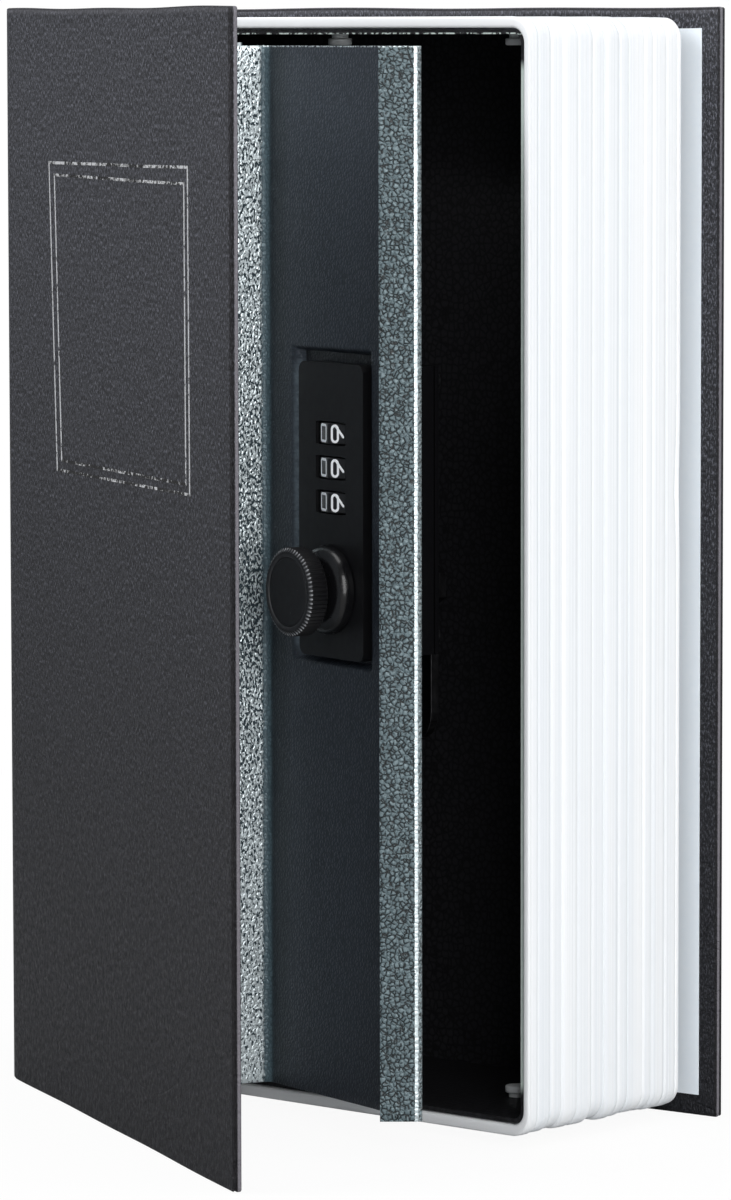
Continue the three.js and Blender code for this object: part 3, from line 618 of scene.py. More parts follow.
def hammered_paint(n, step_start, step_end, panel_start, flange_start, hem_start, hem_end):
    """The door's grey hammered paint, with painted light in zones along the sheet: a painted reflection on
    the step beside the cover, a blue-grey painted reflection on the bend after it, a darker shaded copy of
    the paint on the panel with a painted shadow next to that bend, a painted highlight on the pocket's slope
    and a painted shadow on its floor, and a painted highlight on the hem of the flange, which is also
    metallic. The flakes are more metallic on the smooth parts of the step and on the hem."""
    place = n.on_surface()
    along, height = n.part(place, "X"), n.part(place, "Y")
    cells = n.use(hammer, place, DOOR_CELL_SCALE)

    def ragged(scale, reach):
        return n.plus(along, n.times(n.minus(n.cloud(place, scale, 2), 0.5), reach))

    step, hem_edge = ragged(1100, 0.0016), ragged(700, 0.0004)
    # Painted reflection on the step beside the cover
    step_reflection = n.window(step, step_start - 0.0012, step_start, step_end - 0.0003, step_end + 0.0003)
    # Painted blue-grey reflection on the bend after the step
    teal_reflection = n.window(along, step_start, step_start + 0.001, panel_start - 0.0012, panel_start + 0.001)
    # Painted shade: the panel gets a darker, shaded copy of the paint
    panel = n.window(along, panel_start - 0.001, panel_start,
                     flange_start - 0.0004, flange_start + 0.0006)

    # The hem: a painted highlight on its edge, which is also metallic and reflects the lamps, painted spots
    # of light on its side and painted highlight dots along the sheet's cut top
    inner = n.spread(hem_edge, hem_end, hem_end + 0.00015, 1, 0)
    bright = n.times(n.spread(hem_edge, hem_start, hem_start + 0.0001), inner)
    side = n.times(n.spread(along, flange_start, flange_start + 0.0004), inner)
    spots = n.spread(n.cloud(place, 1700, 2), 0.42, 0.6, 0.05, 0.35)
    top = n.times(n.spread(height, (DOOR_HIGH - 0.35) * MM, (DOOR_HIGH - 0.15) * MM),
                  n.spread(n.cloud(place, 1100, 2), 0.45, 0.55))
    hem = n.most(bright, n.most(n.times(side, spots), top))

    # Dark specks in the step's painted reflection, standing for hollows that reflect dark, more of them in
    # the middle of its height
    noise = n.cloud(n.stretched(place, (1, 0.5, 1)), 2300, 1.5, 0.5, 0.5)
    broad = n.cloud(n.stretched(place, (0.3, 1, 1)), 14, 1)
    middle = n.spread(n.away(height, 0.125), 0.015, 0.075, 0.06, 0)
    level = n.plus(noise, n.times(n.minus(broad, 0.5), 0.2))
    specks = n.spread(n.plus(level, middle), 0.55, 0.58)
    smooth_share = n.minus(1, specks)

    outlined = n.times(cells["Outline"], n.spread(n.cloud(place, 900, 1), 0.36, 0.5))
    grey = n.layered(n.mixed(cells["Tint"], (92, 107, 112), (110, 126, 131)), (outlined, (10, 15, 17)))
    # Painted shadow on the panel just past the bend
    bend_shadow = n.spread(along, panel_start + 0.004, panel_start + 0.009, 1, 0)
    # Painted shade: the panel's darker copy of the paint
    shaded_slate = n.layered((48, 54, 62), (cells["Outline"], (38, 43, 50)), (n.times(bend_shadow, 0.6), (29, 36, 39)))
    # The pocket's edge value: a painted highlight on its slope towards the hinge and a painted shadow on its
    # floor
    pressed = n.edge()
    soft = n.spread(n.cloud(place, 900, 3), 0.3, 0.7, 0.4, 0.9)
    tone = n.layered(
        grey,
        # Painted shade on the panel
        (panel, shaded_slate),
        # Painted blue-grey reflection on that bend
        (teal_reflection, n.mixed(cells["Outline"], (76, 94, 101), (60, 76, 83))),
        # Painted reflection on the step, bright with dark specks
        (step_reflection, n.mixed(specks, (226, 236, 239), (44, 58, 65))),
        # Painted highlight on the pocket's slope, then painted shadow on its floor
        (n.times(n.spread(pressed, 0, 1), soft), (112, 125, 133)),
        (n.spread(pressed, -1, 0, 0.85, 0), (15, 17, 20)),
        # Painted highlight on the metallic hem and the cut top
        (hem, (206, 217, 220)))
    flakes = n.spread(n.most(n.times(step_reflection, smooth_share), hem), 0, 1, 0.2, 0.75)
    share = n.spread(n.most(n.most(panel, teal_reflection), hem), 0, 1, 1, 0.25)
    relief = n.plus(n.times(cells["Height"], share), n.times(smooth_share, n.times(step_reflection, 0.6)))
    return {"Base Color": tone, "Roughness": n.wandering(place, 600, 0.28, 0.42), "Metallic": flakes,
            "Normal": n.bump(relief, 0.0002, 0.9), "Specular IOR Level": 0.4}


def black_plastic(n, roughness, specks=0, tone=20, gloss=0.4):
    """Black plastic with a share of pale specks, and a painted highlight where the piece's edge value is
    high.
    """
    place = n.on_object()
    dust = n.times(n.spread(n.cloud(place, 2600, 2, 0.5), 0.74, 0.8), specks)
    # Painted highlight where the edge value is high
    painted_highlight = n.times(n.edge(), n.spread(n.cloud(place, 700, 2), 0.3, 0.6, 0.35, 1))
    shown = n.layered((tone, tone, tone + 2), (dust, (190, 192, 196)), (painted_highlight, (222, 224, 228)))
    return {"Base Color": shown, "Specular IOR Level": gloss,
            "Roughness": n.wandering(place, 500, roughness - 0.04, roughness + 0.06),
            "Normal": n.bump(n.cloud(place, 3800, 2), 0.00002, 0.5)}


def digit_paint(n):
    return {"Base Color": n.mixed(n.cloud(n.on_object(), 3000), (246, 249, 252), (255, 255, 255)),
            "Roughness": 0.5}


def metal(n, pale, dark, roughness):
    place = n.on_object()
    return {"Base Color": n.mixed(n.use(mottle, place, 420)["Value"], dark, pale), "Metallic": 0.95,
            "Roughness": n.wandering(place, 900, roughness - 0.07, roughness + 0.09),
            "Normal": n.bump(n.cloud(place, 2500), 0.00002, 0.5)}


DOOR_PATH = rounded_path(DOOR_CORNERS, DOOR_BENDS, 8)
DOOR_ALONG = lengths(DOOR_PATH) * MM
FIRST_BEND, SECOND_BEND, THIRD_BEND = (1, 9), (10, 18), (19, 27)
HEM_START = THIRD_BEND[1] - 2
DOOR_ZONES = DOOR_ALONG[[FIRST_BEND[0], *SECOND_BEND, THIRD_BEND[0], HEM_START, THIRD_BEND[1]]].tolist()
BOX_CORNERS = [(corner * MM).tolist() for corner in extent("steel_box")]

LEATHER = material("leatherette", leatherette)
UPRIGHT_FOIL = material("worn_silver_foil", foil, 0.85, (62, 62, 66))
CROSS_FOIL = material("broken_silver_foil", foil, 0.55, (13, 13, 15))
PAPER_FINISH = material("endpaper", endpaper)
BOARD = material("greyboard", greyboard)
WHITE = material("white_moulding", white_moulding)
NYLON = material("white_nylon", white_nylon)
BOX = material("box_paint", box_paint, *BOX_CORNERS)
DOOR = material("hammered_paint", hammered_paint, *DOOR_ZONES)
PLASTIC = material("black_plastic", black_plastic, 0.42, tone=15, gloss=0.35)
KNOB_PLASTIC = material("knob_plastic", black_plastic, 0.42, 0.5, tone=18)
GLOSS = material("glossy_black_plastic", black_plastic, 0.22, tone=14)
WHEEL = material("wheel_plastic", black_plastic, 0.36)
CASE = material("case_plastic", black_plastic, 0.8, tone=5, gloss=0.06)
DIGIT = material("digit_paint", digit_paint)
ZINC = material("zinc_steel", metal, (190, 192, 194), (160, 163, 166), 0.34)
SPRING = material("spring_steel", metal, (205, 206, 208), (186, 188, 190), 0.24)
DARK_ZINC = material("black_zinc", metal, (46, 46, 48), (34, 34, 36), 0.42)
BRASS = material("brass", metal, (200, 165, 95), (176, 138, 70), 0.33)


# Covers

def perimeter(count_x, count_z):
    """A rectangle's outline as shares of its width and height, with the outward direction at each point.
    Each corner is repeated while its direction turns a quarter."""
    side, rise = np.linspace(0, 1, count_x), np.linspace(0, 1, count_z)
    turn = np.linspace(-np.pi / 2, 0, CORNER_POINTS)
    shares, angles = [], []
    for k, run in enumerate((zipped(side, 0), zipped(1, rise), zipped(1 - side, 1), zipped(0, 1 - rise))):
        shares += [run, np.repeat(run[-1:], CORNER_POINTS, 0)]
        angles += [np.full(len(run), (k - 1) * np.pi / 2), turn + k * np.pi / 2]
    angles = np.concatenate(angles)
    return np.concatenate(shares), zipped(np.cos(angles), np.sin(angles))


# Places across a cover's edge, closer together near its faces
EDGE_SHARES = 0.5 - 0.5 * np.cos(np.linspace(0, np.pi, 25))


def edge_bulge(share):
    """How far the wrapped edge stands out at a share of its thickness, from 0 at both faces to 1 in the
    middle, with a pressed groove beside the outer face, where the cloth was creased over the board. Shares
    run from the inner face to the outer one."""
    round_edge = math.sqrt(max(0, 1 - abs(2 * share - 1) ** 6))
    return round_edge - GROOVE_DEPTH * math.exp(-((share - GROOVE_SHARE) / GROOVE_WIDTH) ** 2)


def wrapped_board(name, place, start, end, deep, face, body, node):
    """A board's leather wrap as one closed skin. The outer face is a grid. Rings go from its outline round
    the edge, in under the endpaper as a turned-in leaf, and back out to the skin's inner face. The side at
    start is square, and meets a joint's leather. Each ring has its reach, its insets from the outline at
    start, at end and at the top and bottom, and its depth."""
    low, high = start, end - COVER_EDGE
    bottom, top = COVER_EDGE, COVER_HEIGHT - COVER_EDGE
    across = np.linspace(low, high, COVER_COLUMNS)
    up = np.linspace(bottom, top, COVER_ROWS)
    shares, outward = perimeter(len(across), len(up))
    outward[:, 0] = np.maximum(outward[:, 0], 0)
    leaf_back, skin = face + TURN_IN_LEAF, deep - WRAP
    section = [(COVER_EDGE * edge_bulge(1 - share), 0, 0, 0, deep + share * (face - deep))
               for share in EDGE_SHARES]
    section += [(0, 0, 0, 0, face), (0, WRAP, TURN_IN, TURN_IN, face), (0, WRAP, TURN_IN, TURN_IN, leaf_back)]
    section += [(COVER_EDGE - WRAP, WRAP, 0, 0, leaf_back), (COVER_EDGE - WRAP, WRAP, 0, 0, skin)]
    section += [(0, WRAP, 0, 0, skin)]
    rows, uvs, run = [], [], 0
    for k, (out, in_low, in_high, in_up, depth) in enumerate(section):
        x = low + in_low + shares[:, 0] * (high - in_high - low - in_low) + outward[:, 0] * out
        z = bottom + in_up + shares[:, 1] * (top - bottom - 2 * in_up) + outward[:, 1] * out
        rows.append(place(x, depth, z))
        run += math.hypot(out - section[max(k - 1, 0)][0], depth - section[max(k - 1, 0)][4])
        flat, on_edge = zipped(x, z), 0
        if k < len(EDGE_SHARES):
            flat = zipped(low + shares[:, 0] * (high - low), bottom + shares[:, 1] * (top - bottom))
            flat, on_edge = flat + outward * run, EDGE_SHARES[k]
        uvs.append(np.column_stack([flat, np.full(len(flat), on_edge)]))
    grids = [(np.stack(rows), np.stack(uvs))]
    for depth, inset in ((deep, 0), (skin, WRAP)):
        inside = low + inset + (across - low) / (high - low) * (high - low - inset)
        x, z = np.meshgrid(inside, up, indexing="ij")
        grids.append((place(x, depth, z), zipped(x, z)))
    piece(name, grids, LEATHER, body, stands_for=[node], crease=50)


def bow(across):
    """How far the back cover bends away from the block: a square law over its last part."""
    end = extent("back_cover_wrap")[1][0]
    share = np.maximum(0, (across - (end - BACK_BOW_LENGTH)) / BACK_BOW_LENGTH)
    return BACK_BOW * share * share


def ripple(across, up):
    """The small unevenness of a glued cover's top and bottom edges."""
    lift = np.sin(across / 9.5) * 0.5 + np.sin(across / 23 + 1.3) * 0.5
    return COVER_WAVE * lift * (smooth(180, 240, up) - smooth(60, 0, up) * 0.6)


def on_back(across, depth, up):
    """A place on the back cover, whose depth runs from the endpaper's face outwards."""
    inner = extent("page_shell")[1][1] + BACK_GAP
    return zipped(across, inner + bow(across) + depth, up + ripple(across + BACK_WAVE_SHIFT, up))


def joint_curve():
    """The outer line of the leather that goes from the spine over the hinge onto the cover, in the cover's
    leaf: a cubic curve that leaves along the spine and arrives along the cover."""
    outer = -(FRONT_INNER + COVER_THICKNESS)
    start = np.array(SPINE_FRONT_ON_LEAF)
    end = np.array([JOINT_MEETS_COVER, outer])
    leaving = start + JOINT_PULL * np.array(SPINE_TANGENT_ON_LEAF)
    pulls = np.stack([start, leaving, end - [JOINT_PULL, 0], end])
    t = np.linspace(0, 1, 121)[:, None]
    weights = np.concatenate([(1 - t) ** 3, 3 * t * (1 - t) ** 2, 3 * t * t * (1 - t), t ** 3], 1)
    return weights @ pulls


JOINT_CURVE = joint_curve()


def on_front(across, depth, up):
    """A place on the front cover. Near the hinge its outer face follows the joint's curve."""
    full = FRONT_INNER + COVER_THICKNESS
    outer = -np.interp(across, JOINT_CURVE[:, 0], JOINT_CURVE[:, 1], right=-full)
    drop = (full - outer) * np.clip(depth / COVER_THICKNESS, 0, 1)
    return on_cover(across, -(FRONT_INNER + depth - drop), up + ripple(across, up))


def on_spine(across, depth, up):
    """A place on the spine, whose depth runs from its board's inner face outwards."""
    inner = extent("spine_wrap")[1][0]
    return zipped(inner - depth, across, up + ripple(across + SPINE_WAVE_SHIFT, up) * 0.5)


def front_end():
    """The front cover's free edge along its leaf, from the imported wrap's far corner."""
    low, high = extent("front_cover_wrap")
    origin = on_cover(0, 0, 0)
    return float((np.array([high[0], low[1], 0]) - origin) @ (on_cover(1, 0, 0) - origin))


def add_covers():
    low, high = extent("back_cover_wrap")
    wrapped_board("back_cover_leather", on_back, low[0], high[0], COVER_THICKNESS, TURN_IN_DEPTH,
                  "book", "back_cover_wrap")
    wrapped_board("front_cover_leather", on_front, FRONT_START, front_end(), COVER_THICKNESS, TURN_IN_DEPTH,
                  "front_cover", "front_cover_wrap")
    low, high = extent("spine_wrap")
    wrapped_board("spine_leather", on_spine, low[1], high[1], high[0] - low[0], SPINE_FACE,
                  "book", "spine_wrap")


def strip(name, path, place, body, node, start=0.0):
    """A leather strip that follows a path across and runs the cover's height. Its outer line is the path, its
    inner line lies one thickness inside, and its ends are rounded like the covers' edges."""
    run = lengths(path)
    inward = directions(path)[1]
    end = np.array([0, 0.06, 0.16, 0.32, COVER_EDGE])
    straight = np.linspace(COVER_EDGE, COVER_HEIGHT - COVER_EDGE, COVER_ROWS)[1:-1]
    up = np.concatenate([end, straight, COVER_HEIGHT - end[::-1]])
    nearest = np.minimum(np.minimum(up, COVER_HEIGHT - up), COVER_EDGE)
    sunk = COVER_EDGE - np.sqrt(COVER_EDGE ** 2 - (COVER_EDGE - nearest) ** 2)
    outer = path[:, None, :] + inward[:, None, :] * sunk[None, :, None]
    inner = (path + inward * JOINT_THICKNESS)[::-1][:, None, :] + 0 * outer
    ring = np.concatenate([outer, inner, outer[:1]])
    at = place(ring[..., 0], ring[..., 1], up[None, :])
    along = np.concatenate([run, run[::-1], run[:1]]) + start
    uv = zipped(along[:, None], up[None, :])
    caps = [at[:-1, 0], at[:-1, -1]]
    return piece(name, [(at, uv)], LEATHER, body, caps=caps, stands_for=[node], crease=50)


def add_joints():
    def front_place(across, into, up):
        return on_cover(across, into, up + ripple(across, up))

    meets = JOINT_CURVE[:, 0] <= FRONT_START
    last = np.interp(FRONT_START, JOINT_CURVE[:, 0], JOINT_CURVE[:, 1])
    path = np.concatenate([JOINT_CURVE[meets], [[FRONT_START, last]]])
    sparse = path[::2] if len(path) % 2 else np.concatenate([path[:-1:2], path[-1:]])
    front = strip("front_joint_leather", sparse, front_place, None, "front_joint_strip",
                  FRONT_START - lengths(path)[-1])
    start = on_cover(*SPINE_FRONT_ON_LEAF, COVER_HEIGHT / 2) * MM
    end = on_cover(FRONT_START, last, COVER_HEIGHT / 2) * MM
    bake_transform(front)

    spine, back = extent("spine_wrap")[1][0], extent("back_cover_wrap")[0][0]
    outer = extent("rear_joint_strip")[1][1]
    dip = REAR_JOINT_DIP * np.sin(np.pi * np.linspace(0, 1, 25)) ** 2
    rear = zipped(np.linspace(spine, back, 25), outer - dip)[::-1]

    def rear_place(x, y, z):
        return zipped(x, y, z + ripple(x + BACK_WAVE_SHIFT, z))

    strip("rear_joint_leather", rear, rear_place, "book", "rear_joint_strip")


def add_endpapers():
    """Each endpaper is a thin sheet with a slight unevenness, closed round its edges."""
    low, high = extent("back_endpaper")
    rise = np.linspace(PAPER_INSET, COVER_HEIGHT - PAPER_INSET, 81)
    left, right = FRONT_START + PAPER_INSET, front_end() - PAPER_INSET
    for place, start, end, body, node in (
            (on_back, low[0], high[0], "book", "back_endpaper"),
            (on_front, left, right, "front_cover", "front_endpaper")):
        x, z = np.meshgrid(np.linspace(start, end, 61), rise, indexing="ij")
        faces = [(place(x, depth, z), zipped(x, z)) for depth in (0.0, PAPER)]
        rims = []
        for row in (np.s_[0, :], np.s_[-1, :], np.s_[:, 0], np.s_[:, -1]):
            rims.append((np.stack([faces[0][0][row], faces[1][0][row]]), np.zeros(2)))
        piece(f"{node}_sheet", faces + rims, PAPER_FINISH, body, stands_for=[node])


def add_foil():
    """The worn lines of the frame on the cover. Each is a thin closed band on the leather, and the cross
    lines have lost more of their foil than the upright ones. Where the foil is gone, the cross lines show
    near black and the upright ones a dark grey."""
    for name, corners in (("outer", FOIL_OUTER), ("inner", FOIL_INNER)):
        ring = np.array(corners + corners[:1])
        side = np.sign(ring - ring[:-1].mean(0)) * FOIL_LINE / 2
        out, inn = ring + side, ring - side
        lines = {"cross": [], "upright": []}
        for k in range(4):
            at, uv = [], []
            for edge, lift in ((out, 0), (out, FOIL_THICKNESS), (inn, FOIL_THICKNESS), (inn, 0), (out, 0)):
                uv.append(np.linspace(edge[k], edge[k + 1], 60))
                at.append(on_front(uv[-1][:, 0], COVER_THICKNESS - FOIL_SUNK + lift, uv[-1][:, 1]))
            lines["upright" if k % 2 else "cross"].append((np.stack(at), np.stack(uv)))
        for kind, finish in (("cross", CROSS_FOIL), ("upright", UPRIGHT_FOIL)):
            piece(f"foil_{name}_{kind}_lines", lines[kind], finish, "front_cover")


# Page block

def block_path(fore, low, high, spine, corner):
    """The block's outline from its bottom at the spine round the fore-edge to its top at the spine: X and Z
    arrays with one column for each fore-edge place and corner radius."""
    fore, low, high, corner = (v[None, :] for v in np.broadcast_arrays(fore, low, high, corner))
    flat = np.linspace(0, 1, 34)[:, None]
    turn = np.linspace(0, np.pi / 2, 15)[1:, None]
    rise = np.linspace(0, 1, 61)[1:, None]
    x = [spine + (fore - corner - spine) * flat, fore - corner + corner * np.sin(turn), fore + 0 * rise,
         fore - corner + corner * np.cos(turn), fore - corner + (spine - fore + corner) * flat[1:]]
    z = [low + 0 * flat, low + corner - corner * np.cos(turn),
         low + corner + (high - low - 2 * corner) * rise,
         high - corner + corner * np.sin(turn), high + 0 * flat[1:]]
    columns = fore.shape[1]
    return tuple(np.concatenate([np.broadcast_to(p, (len(p), columns)) for p in parts]) for parts in (x, z))


def bundles(depth):
    """How far each bundle of pages stands back, and its corner radius, at depths from the block's front.
    Bundles are slightly crowned, and fine lines of single pages run between."""
    random = np.random.default_rng(SEED)
    edges = np.array(BUNDLE_EDGES)
    count = len(edges) - 1
    setback = random.uniform(0.02, 0.48, count)
    radius = BLOCK_CORNER + random.uniform(-1.2, 0.3, count)
    which = np.clip(np.searchsorted(edges, depth, side="right") - 1, 0, count - 1)
    within = (depth - edges[which]) / (edges[which + 1] - edges[which])
    crown = 0.3 * np.abs(2 * within - 1) ** 6
    pages = 0.022 * np.sin(depth * 2 * np.pi / PAGE_PITCH) * np.sin(depth * 0.7 + 0.4)
    return setback[which] + crown + pages + 0.04, radius[which]


def add_page_block():
    """The block is one closed skin. From its back it goes along the inside, round the front rim, over the
    page edges and round the back rim: shares from the inner wall to the outer face, and depths."""
    low, high = extent("page_shell")
    deep = high[1] - low[1]
    body = np.linspace(0.45, deep - 0.3, PAGE_ROWS)
    share = np.concatenate([[0, 0, 0, 0.12, 0.25, 0.8, 0.93], np.ones(len(body)), [0.93, 0.8, 0.2, 0]])
    depth = np.concatenate([[deep, deep / 2, 0.35, 0.06, 0, 0, 0.13], body, [deep - 0.08, deep, deep, deep]])
    setback, corner = bundles(depth)
    flat = smooth(0.3, 0.9, depth)
    setback, corner = setback * flat, BLOCK_CORNER + (corner - BLOCK_CORNER) * flat
    outer_x, outer_z = block_path(
        high[0] - setback, low[2] + setback * 1.1, high[2] - setback * 0.8, low[0], corner)
    inner_x, inner_z = block_path(
        np.full(len(depth), high[0] - BLOCK_WALL_SIDE), low[2] + BLOCK_WALL_TOP, high[2] - BLOCK_WALL_TOP,
        low[0], BLOCK_INNER_CORNER)
    x = inner_x + (outer_x - inner_x) * share
    z = inner_z + (outer_z - inner_z) * share
    up, into = (z - BLOCK_DENT[0]) / BLOCK_DENT_SIZE[0], (depth - BLOCK_DENT[1]) / BLOCK_DENT_SIZE[1]
    dent = BLOCK_DENT_DEPTH * np.exp(-up ** 2 - into ** 2) * (x > high[0] - 3)
    y = np.broadcast_to(low[1] + depth, x.shape)
    at = zipped(x - dent, y, z)
    at = np.concatenate([at, at[:, :1]], 1)
    along = np.cumsum(np.concatenate([[0], np.hypot(np.diff(x[:, 0]), np.diff(z[:, 0]))]))
    across = np.concatenate([[0], np.cumsum(np.hypot(np.diff(depth), np.diff(share) * 2))])
    across = np.append(across, across[-1] + 1)
    uv = zipped(across[None, :], along[:, None])
    caps = [at[0, :-1], at[-1, :-1]]
    piece("page_block", [(at, uv)], WHITE, "book", caps=caps, stands_for=["page_shell"],
          crease=60)


def add_studs():
    """Each stud is a neck through the box wall with a flat head inside, its edges eased."""
    for node in (f"{end}_stud_{i}" for end in ("lower", "upper") for i in (1, 2, 3)):
        low, high = extent(node)
        middle = (low + high) / 2
        sign, base = (1, low[2]) if node.startswith("lower") else (-1, high[2])
        tall = high[2] - low[2]
        neck = tall - STUD_HEAD_HEIGHT
        outline = [(0, 0), (STUD_RADIUS, 0), (STUD_RADIUS, neck), (STUD_HEAD_RADIUS, neck),
                   (STUD_HEAD_RADIUS, tall), (0, tall)]
        profile = rounded_path(outline, STUD_ROUNDING, 4)

        def place(x, depth, z):
            return zipped(middle[0] + x, middle[1] + z, base + sign * depth)

        piece(f"{node}_head", [turned(profile, place, 40)], NYLON, "book",
              stands_for=[node])


# Door

def pocket_at(across, up):
    """How deep the pressed pocket is: the product of a smooth rise at each side, from its rim to its floor,
    so that its corners are round. The side towards the hinge slopes gently and the others are steep."""
    x, z = across - LOCK_ACROSS, up - FACE_MIDDLE
    sides = smooth(*POCKET_LEFT, x) * smooth(*POCKET_RIGHT, x)
    return POCKET_DEPTH * sides * smooth(*POCKET_BOTTOM, z) * smooth(*POCKET_TOP, z)


def pocket_edge(across, up):
    """1 on the pocket's slope towards the hinge, which gets a painted highlight, and -1 on its floor, which
    gets a painted shadow.
    """
    x = across - LOCK_ACROSS
    slope = np.exp(-((x - sum(POCKET_LEFT) / 2) / 1.1) ** 2) * smooth(33, 28, np.abs(up - FACE_MIDDLE))
    floor = smooth(0.9, 1.0, pocket_at(across, up) / POCKET_DEPTH)
    return slope * (1 - floor) - floor


def round_edges(made, width, angle):
    bevel = made.modifiers.new("edges", "BEVEL")
    bevel.width = width * MM
    bevel.segments = 2
    bevel.limit_method = "ANGLE"
    bevel.angle_limit = math.radians(angle)


def thicken(made):
    """Gives the door's sheet its thickness about its middle and eases its cut edges."""
    solid = made.modifiers.new("thickness", "SOLIDIFY")
    solid.thickness = DOOR_SHEET * MM
    solid.offset = 0
    solid.use_even_offset = True
    round_edges(made, DOOR_CUT, DOOR_CUT_ANGLE)


def add_door():
    """The door's sheet follows its bent path, with finer steps round the pocket and the lock's hole."""
    bent, flange = SECOND_BEND[1], THIRD_BEND[0]
    left, right = LOCK_ACROSS - HOLE_HALF_WIDTH, LOCK_ACROSS + HOLE_HALF_WIDTH
    low, high = FACE_MIDDLE - HOLE_HALF_HEIGHT, FACE_MIDDLE + HOLE_HALF_HEIGHT
    start, end, panel_depth = DOOR_PATH[bent, 0], DOOR_PATH[flange, 0], DOOR_PATH[bent, 1]
    panel = stations((start, FINE_ACROSS[0], 10), (FINE_ACROSS[0], left, 28), (left, right, 14),
                     (right, FINE_ACROSS[1], 24), (FINE_ACROSS[1], end, 12))
    panel = zipped(panel[1:-1], np.full(len(panel) - 2, panel_depth))
    path = np.concatenate([np.linspace(DOOR_PATH[0], DOOR_PATH[1], 50)[:-1], DOOR_PATH[1:bent + 1], panel,
                           DOOR_PATH[flange:-1], np.linspace(DOOR_PATH[-2], DOOR_PATH[-1], 8)[1:]])
    up = stations((DOOR_LOW, FINE_UP[0], 60), (FINE_UP[0], low, 22), (low, high, 30),
                  (high, FINE_UP[1], 24), (FINE_UP[1], DOOR_HIGH, 42))
    across, height = np.meshgrid(path[:, 0], up, indexing="ij")
    at = on_door(across, path[:, 1][:, None] + pocket_at(across, height), height)
    along = lengths(path)
    uv = zipped(along[:, None], up[None, :], pocket_edge(across, height))
    middle_x = (across[1:, 1:] + across[:-1, :-1]) / 2
    middle_z = (height[1:, 1:] + height[:-1, :-1]) / 2
    on_panel = (path[1:, 1] + path[:-1, 1] > 2 * panel_depth - 0.01)[:, None]
    hole = (middle_x > left) & (middle_x < right) & (middle_z > low) & (middle_z < high) & on_panel
    piece("door_sheet", [(at, uv, ~hole)], DOOR, "door", stands_for=["door_panel"],
          crease=60, dress=thicken)
    add_ear("lower_door_ear", DOOR_LOW - EAR_LIFT)
    add_ear("upper_door_ear", DOOR_HIGH + EAR_LIFT - DOOR_SHEET)


def add_ear(name, level):
    """A flat ear with a round end about its pin hole: the ring between an outline and the hole, on both
    faces."""
    bend = np.linspace(np.pi / 2, np.pi * 1.5, 25)
    outline = np.concatenate([
        np.linspace((EAR_LENGTH, EAR_BACK), (0, EAR_BACK), 12)[:-1],
        EAR_BACK * zipped(np.cos(bend), np.sin(bend)),
        np.linspace((0, -EAR_BACK), EAR_STEP, 3)[1:],
        np.linspace(EAR_STEP, (EAR_LENGTH, EAR_STEP[1]), 12)[1:],
        [(EAR_LENGTH, EAR_BACK)],
    ])
    angle = np.arctan2(outline[:, 1], outline[:, 0])
    hole = EAR_HOLE * zipped(np.cos(angle), np.sin(angle))
    lines = (outline, outline, hole, hole, outline)
    levels = (level, level + DOOR_SHEET, level + DOOR_SHEET, level, level)
    at = np.stack([on_door(line[:, 0], line[:, 1], z) for line, z in zip(lines, levels)])
    uv = np.stack(lines)
    piece(name, [(at, uv)], DOOR, "door", crease=40)


# Lock

def on_knob(x, depth, z):
    return on_lock(x, depth, KNOB_HEIGHT + z)


def add_knob():
    """The knob is turned: a shallow face with a ring line, an eased rim and a neck with a blind socket. The
    rim's radius shrinks in 62 rounded grooves, and the crests between them carry painted highlights at the
    front, with a faint painted highlight along the ring line."""
    front, back = KNOB_FRONT, KNOB_FRONT + KNOB_RIM
    outline = [(0, front + 0.18), (7.0, front + 0.18), (7.15, front + 0.34), (7.4, front + 0.34),
               (7.55, front + 0.1), (8.35, front), (KNOB_RADIUS, front + 0.6), (KNOB_RADIUS, back - 0.45),
               (8.5, back), (KNOB_NECK, back), (KNOB_NECK, KNOB_BACK), (SOCKET_RADIUS, KNOB_BACK),
               (SOCKET_RADIUS, SOCKET_END), (0, SOCKET_END)]
    radii = [0.1, 0.06, 0.06, 0.1, 0.3, 0.25, 0.25, 0.2, 0.3, 0.1, 0.1, 0.1]
    profile = rounded_path(outline, radii, 4)
    radius, depth = profile[:, :1], profile[:, 1:]
    share = smooth(8.3, KNOB_RADIUS - 0.12, radius)

    def knurl(angle):
        return share * KNURL_DEPTH * (0.5 - 0.5 * np.cos(KNURLS * angle)) ** 0.7

    sides = KNURLS * KNURL_STEPS
    crest = (0.5 + 0.5 * np.cos(KNURLS * np.linspace(0, 2 * np.pi, sides + 1))) ** 3
    # Painted highlights on the front of the crests and a faint one along the ring line, kept as the edge
    # value
    tip_highlights = 0.9 * np.exp(-((depth - front - 0.45) / 0.13) ** 2) * smooth(8.6, 9.2, radius) * crest
    ring = np.exp(-((radius - 7.6) / 0.12) ** 2) * (depth < front + 0.4) * 0.04
    piece("knurled_knob", [turned(profile, on_knob, sides, knurl, tip_highlights + ring)], KNOB_PLASTIC,
          "knob_and_latch", stands_for=["knob"], crease=50)


def add_collar():
    """The collar is a quarter ellipse turned round the knob's neck, with a small foot."""
    base = FACE_FRONT - COLLAR_LIFT
    turn = np.linspace(0, np.pi / 2, 22)
    dome = zipped(KNOB_NECK + (COLLAR_RADIUS - KNOB_NECK) * np.cos(turn),
                  base - COLLAR_FOOT - (COLLAR_HEIGHT - COLLAR_FOOT) * np.sin(turn))
    profile = np.concatenate([[(SOCKET_RADIUS, base), (COLLAR_RADIUS, base)], dome,
                              [(SOCKET_RADIUS, base - COLLAR_HEIGHT), (SOCKET_RADIUS, base)]])
    piece("domed_collar", [turned(profile, on_knob, 96)], GLOSS, "door",
          stands_for=["knob_collar"], crease=50)


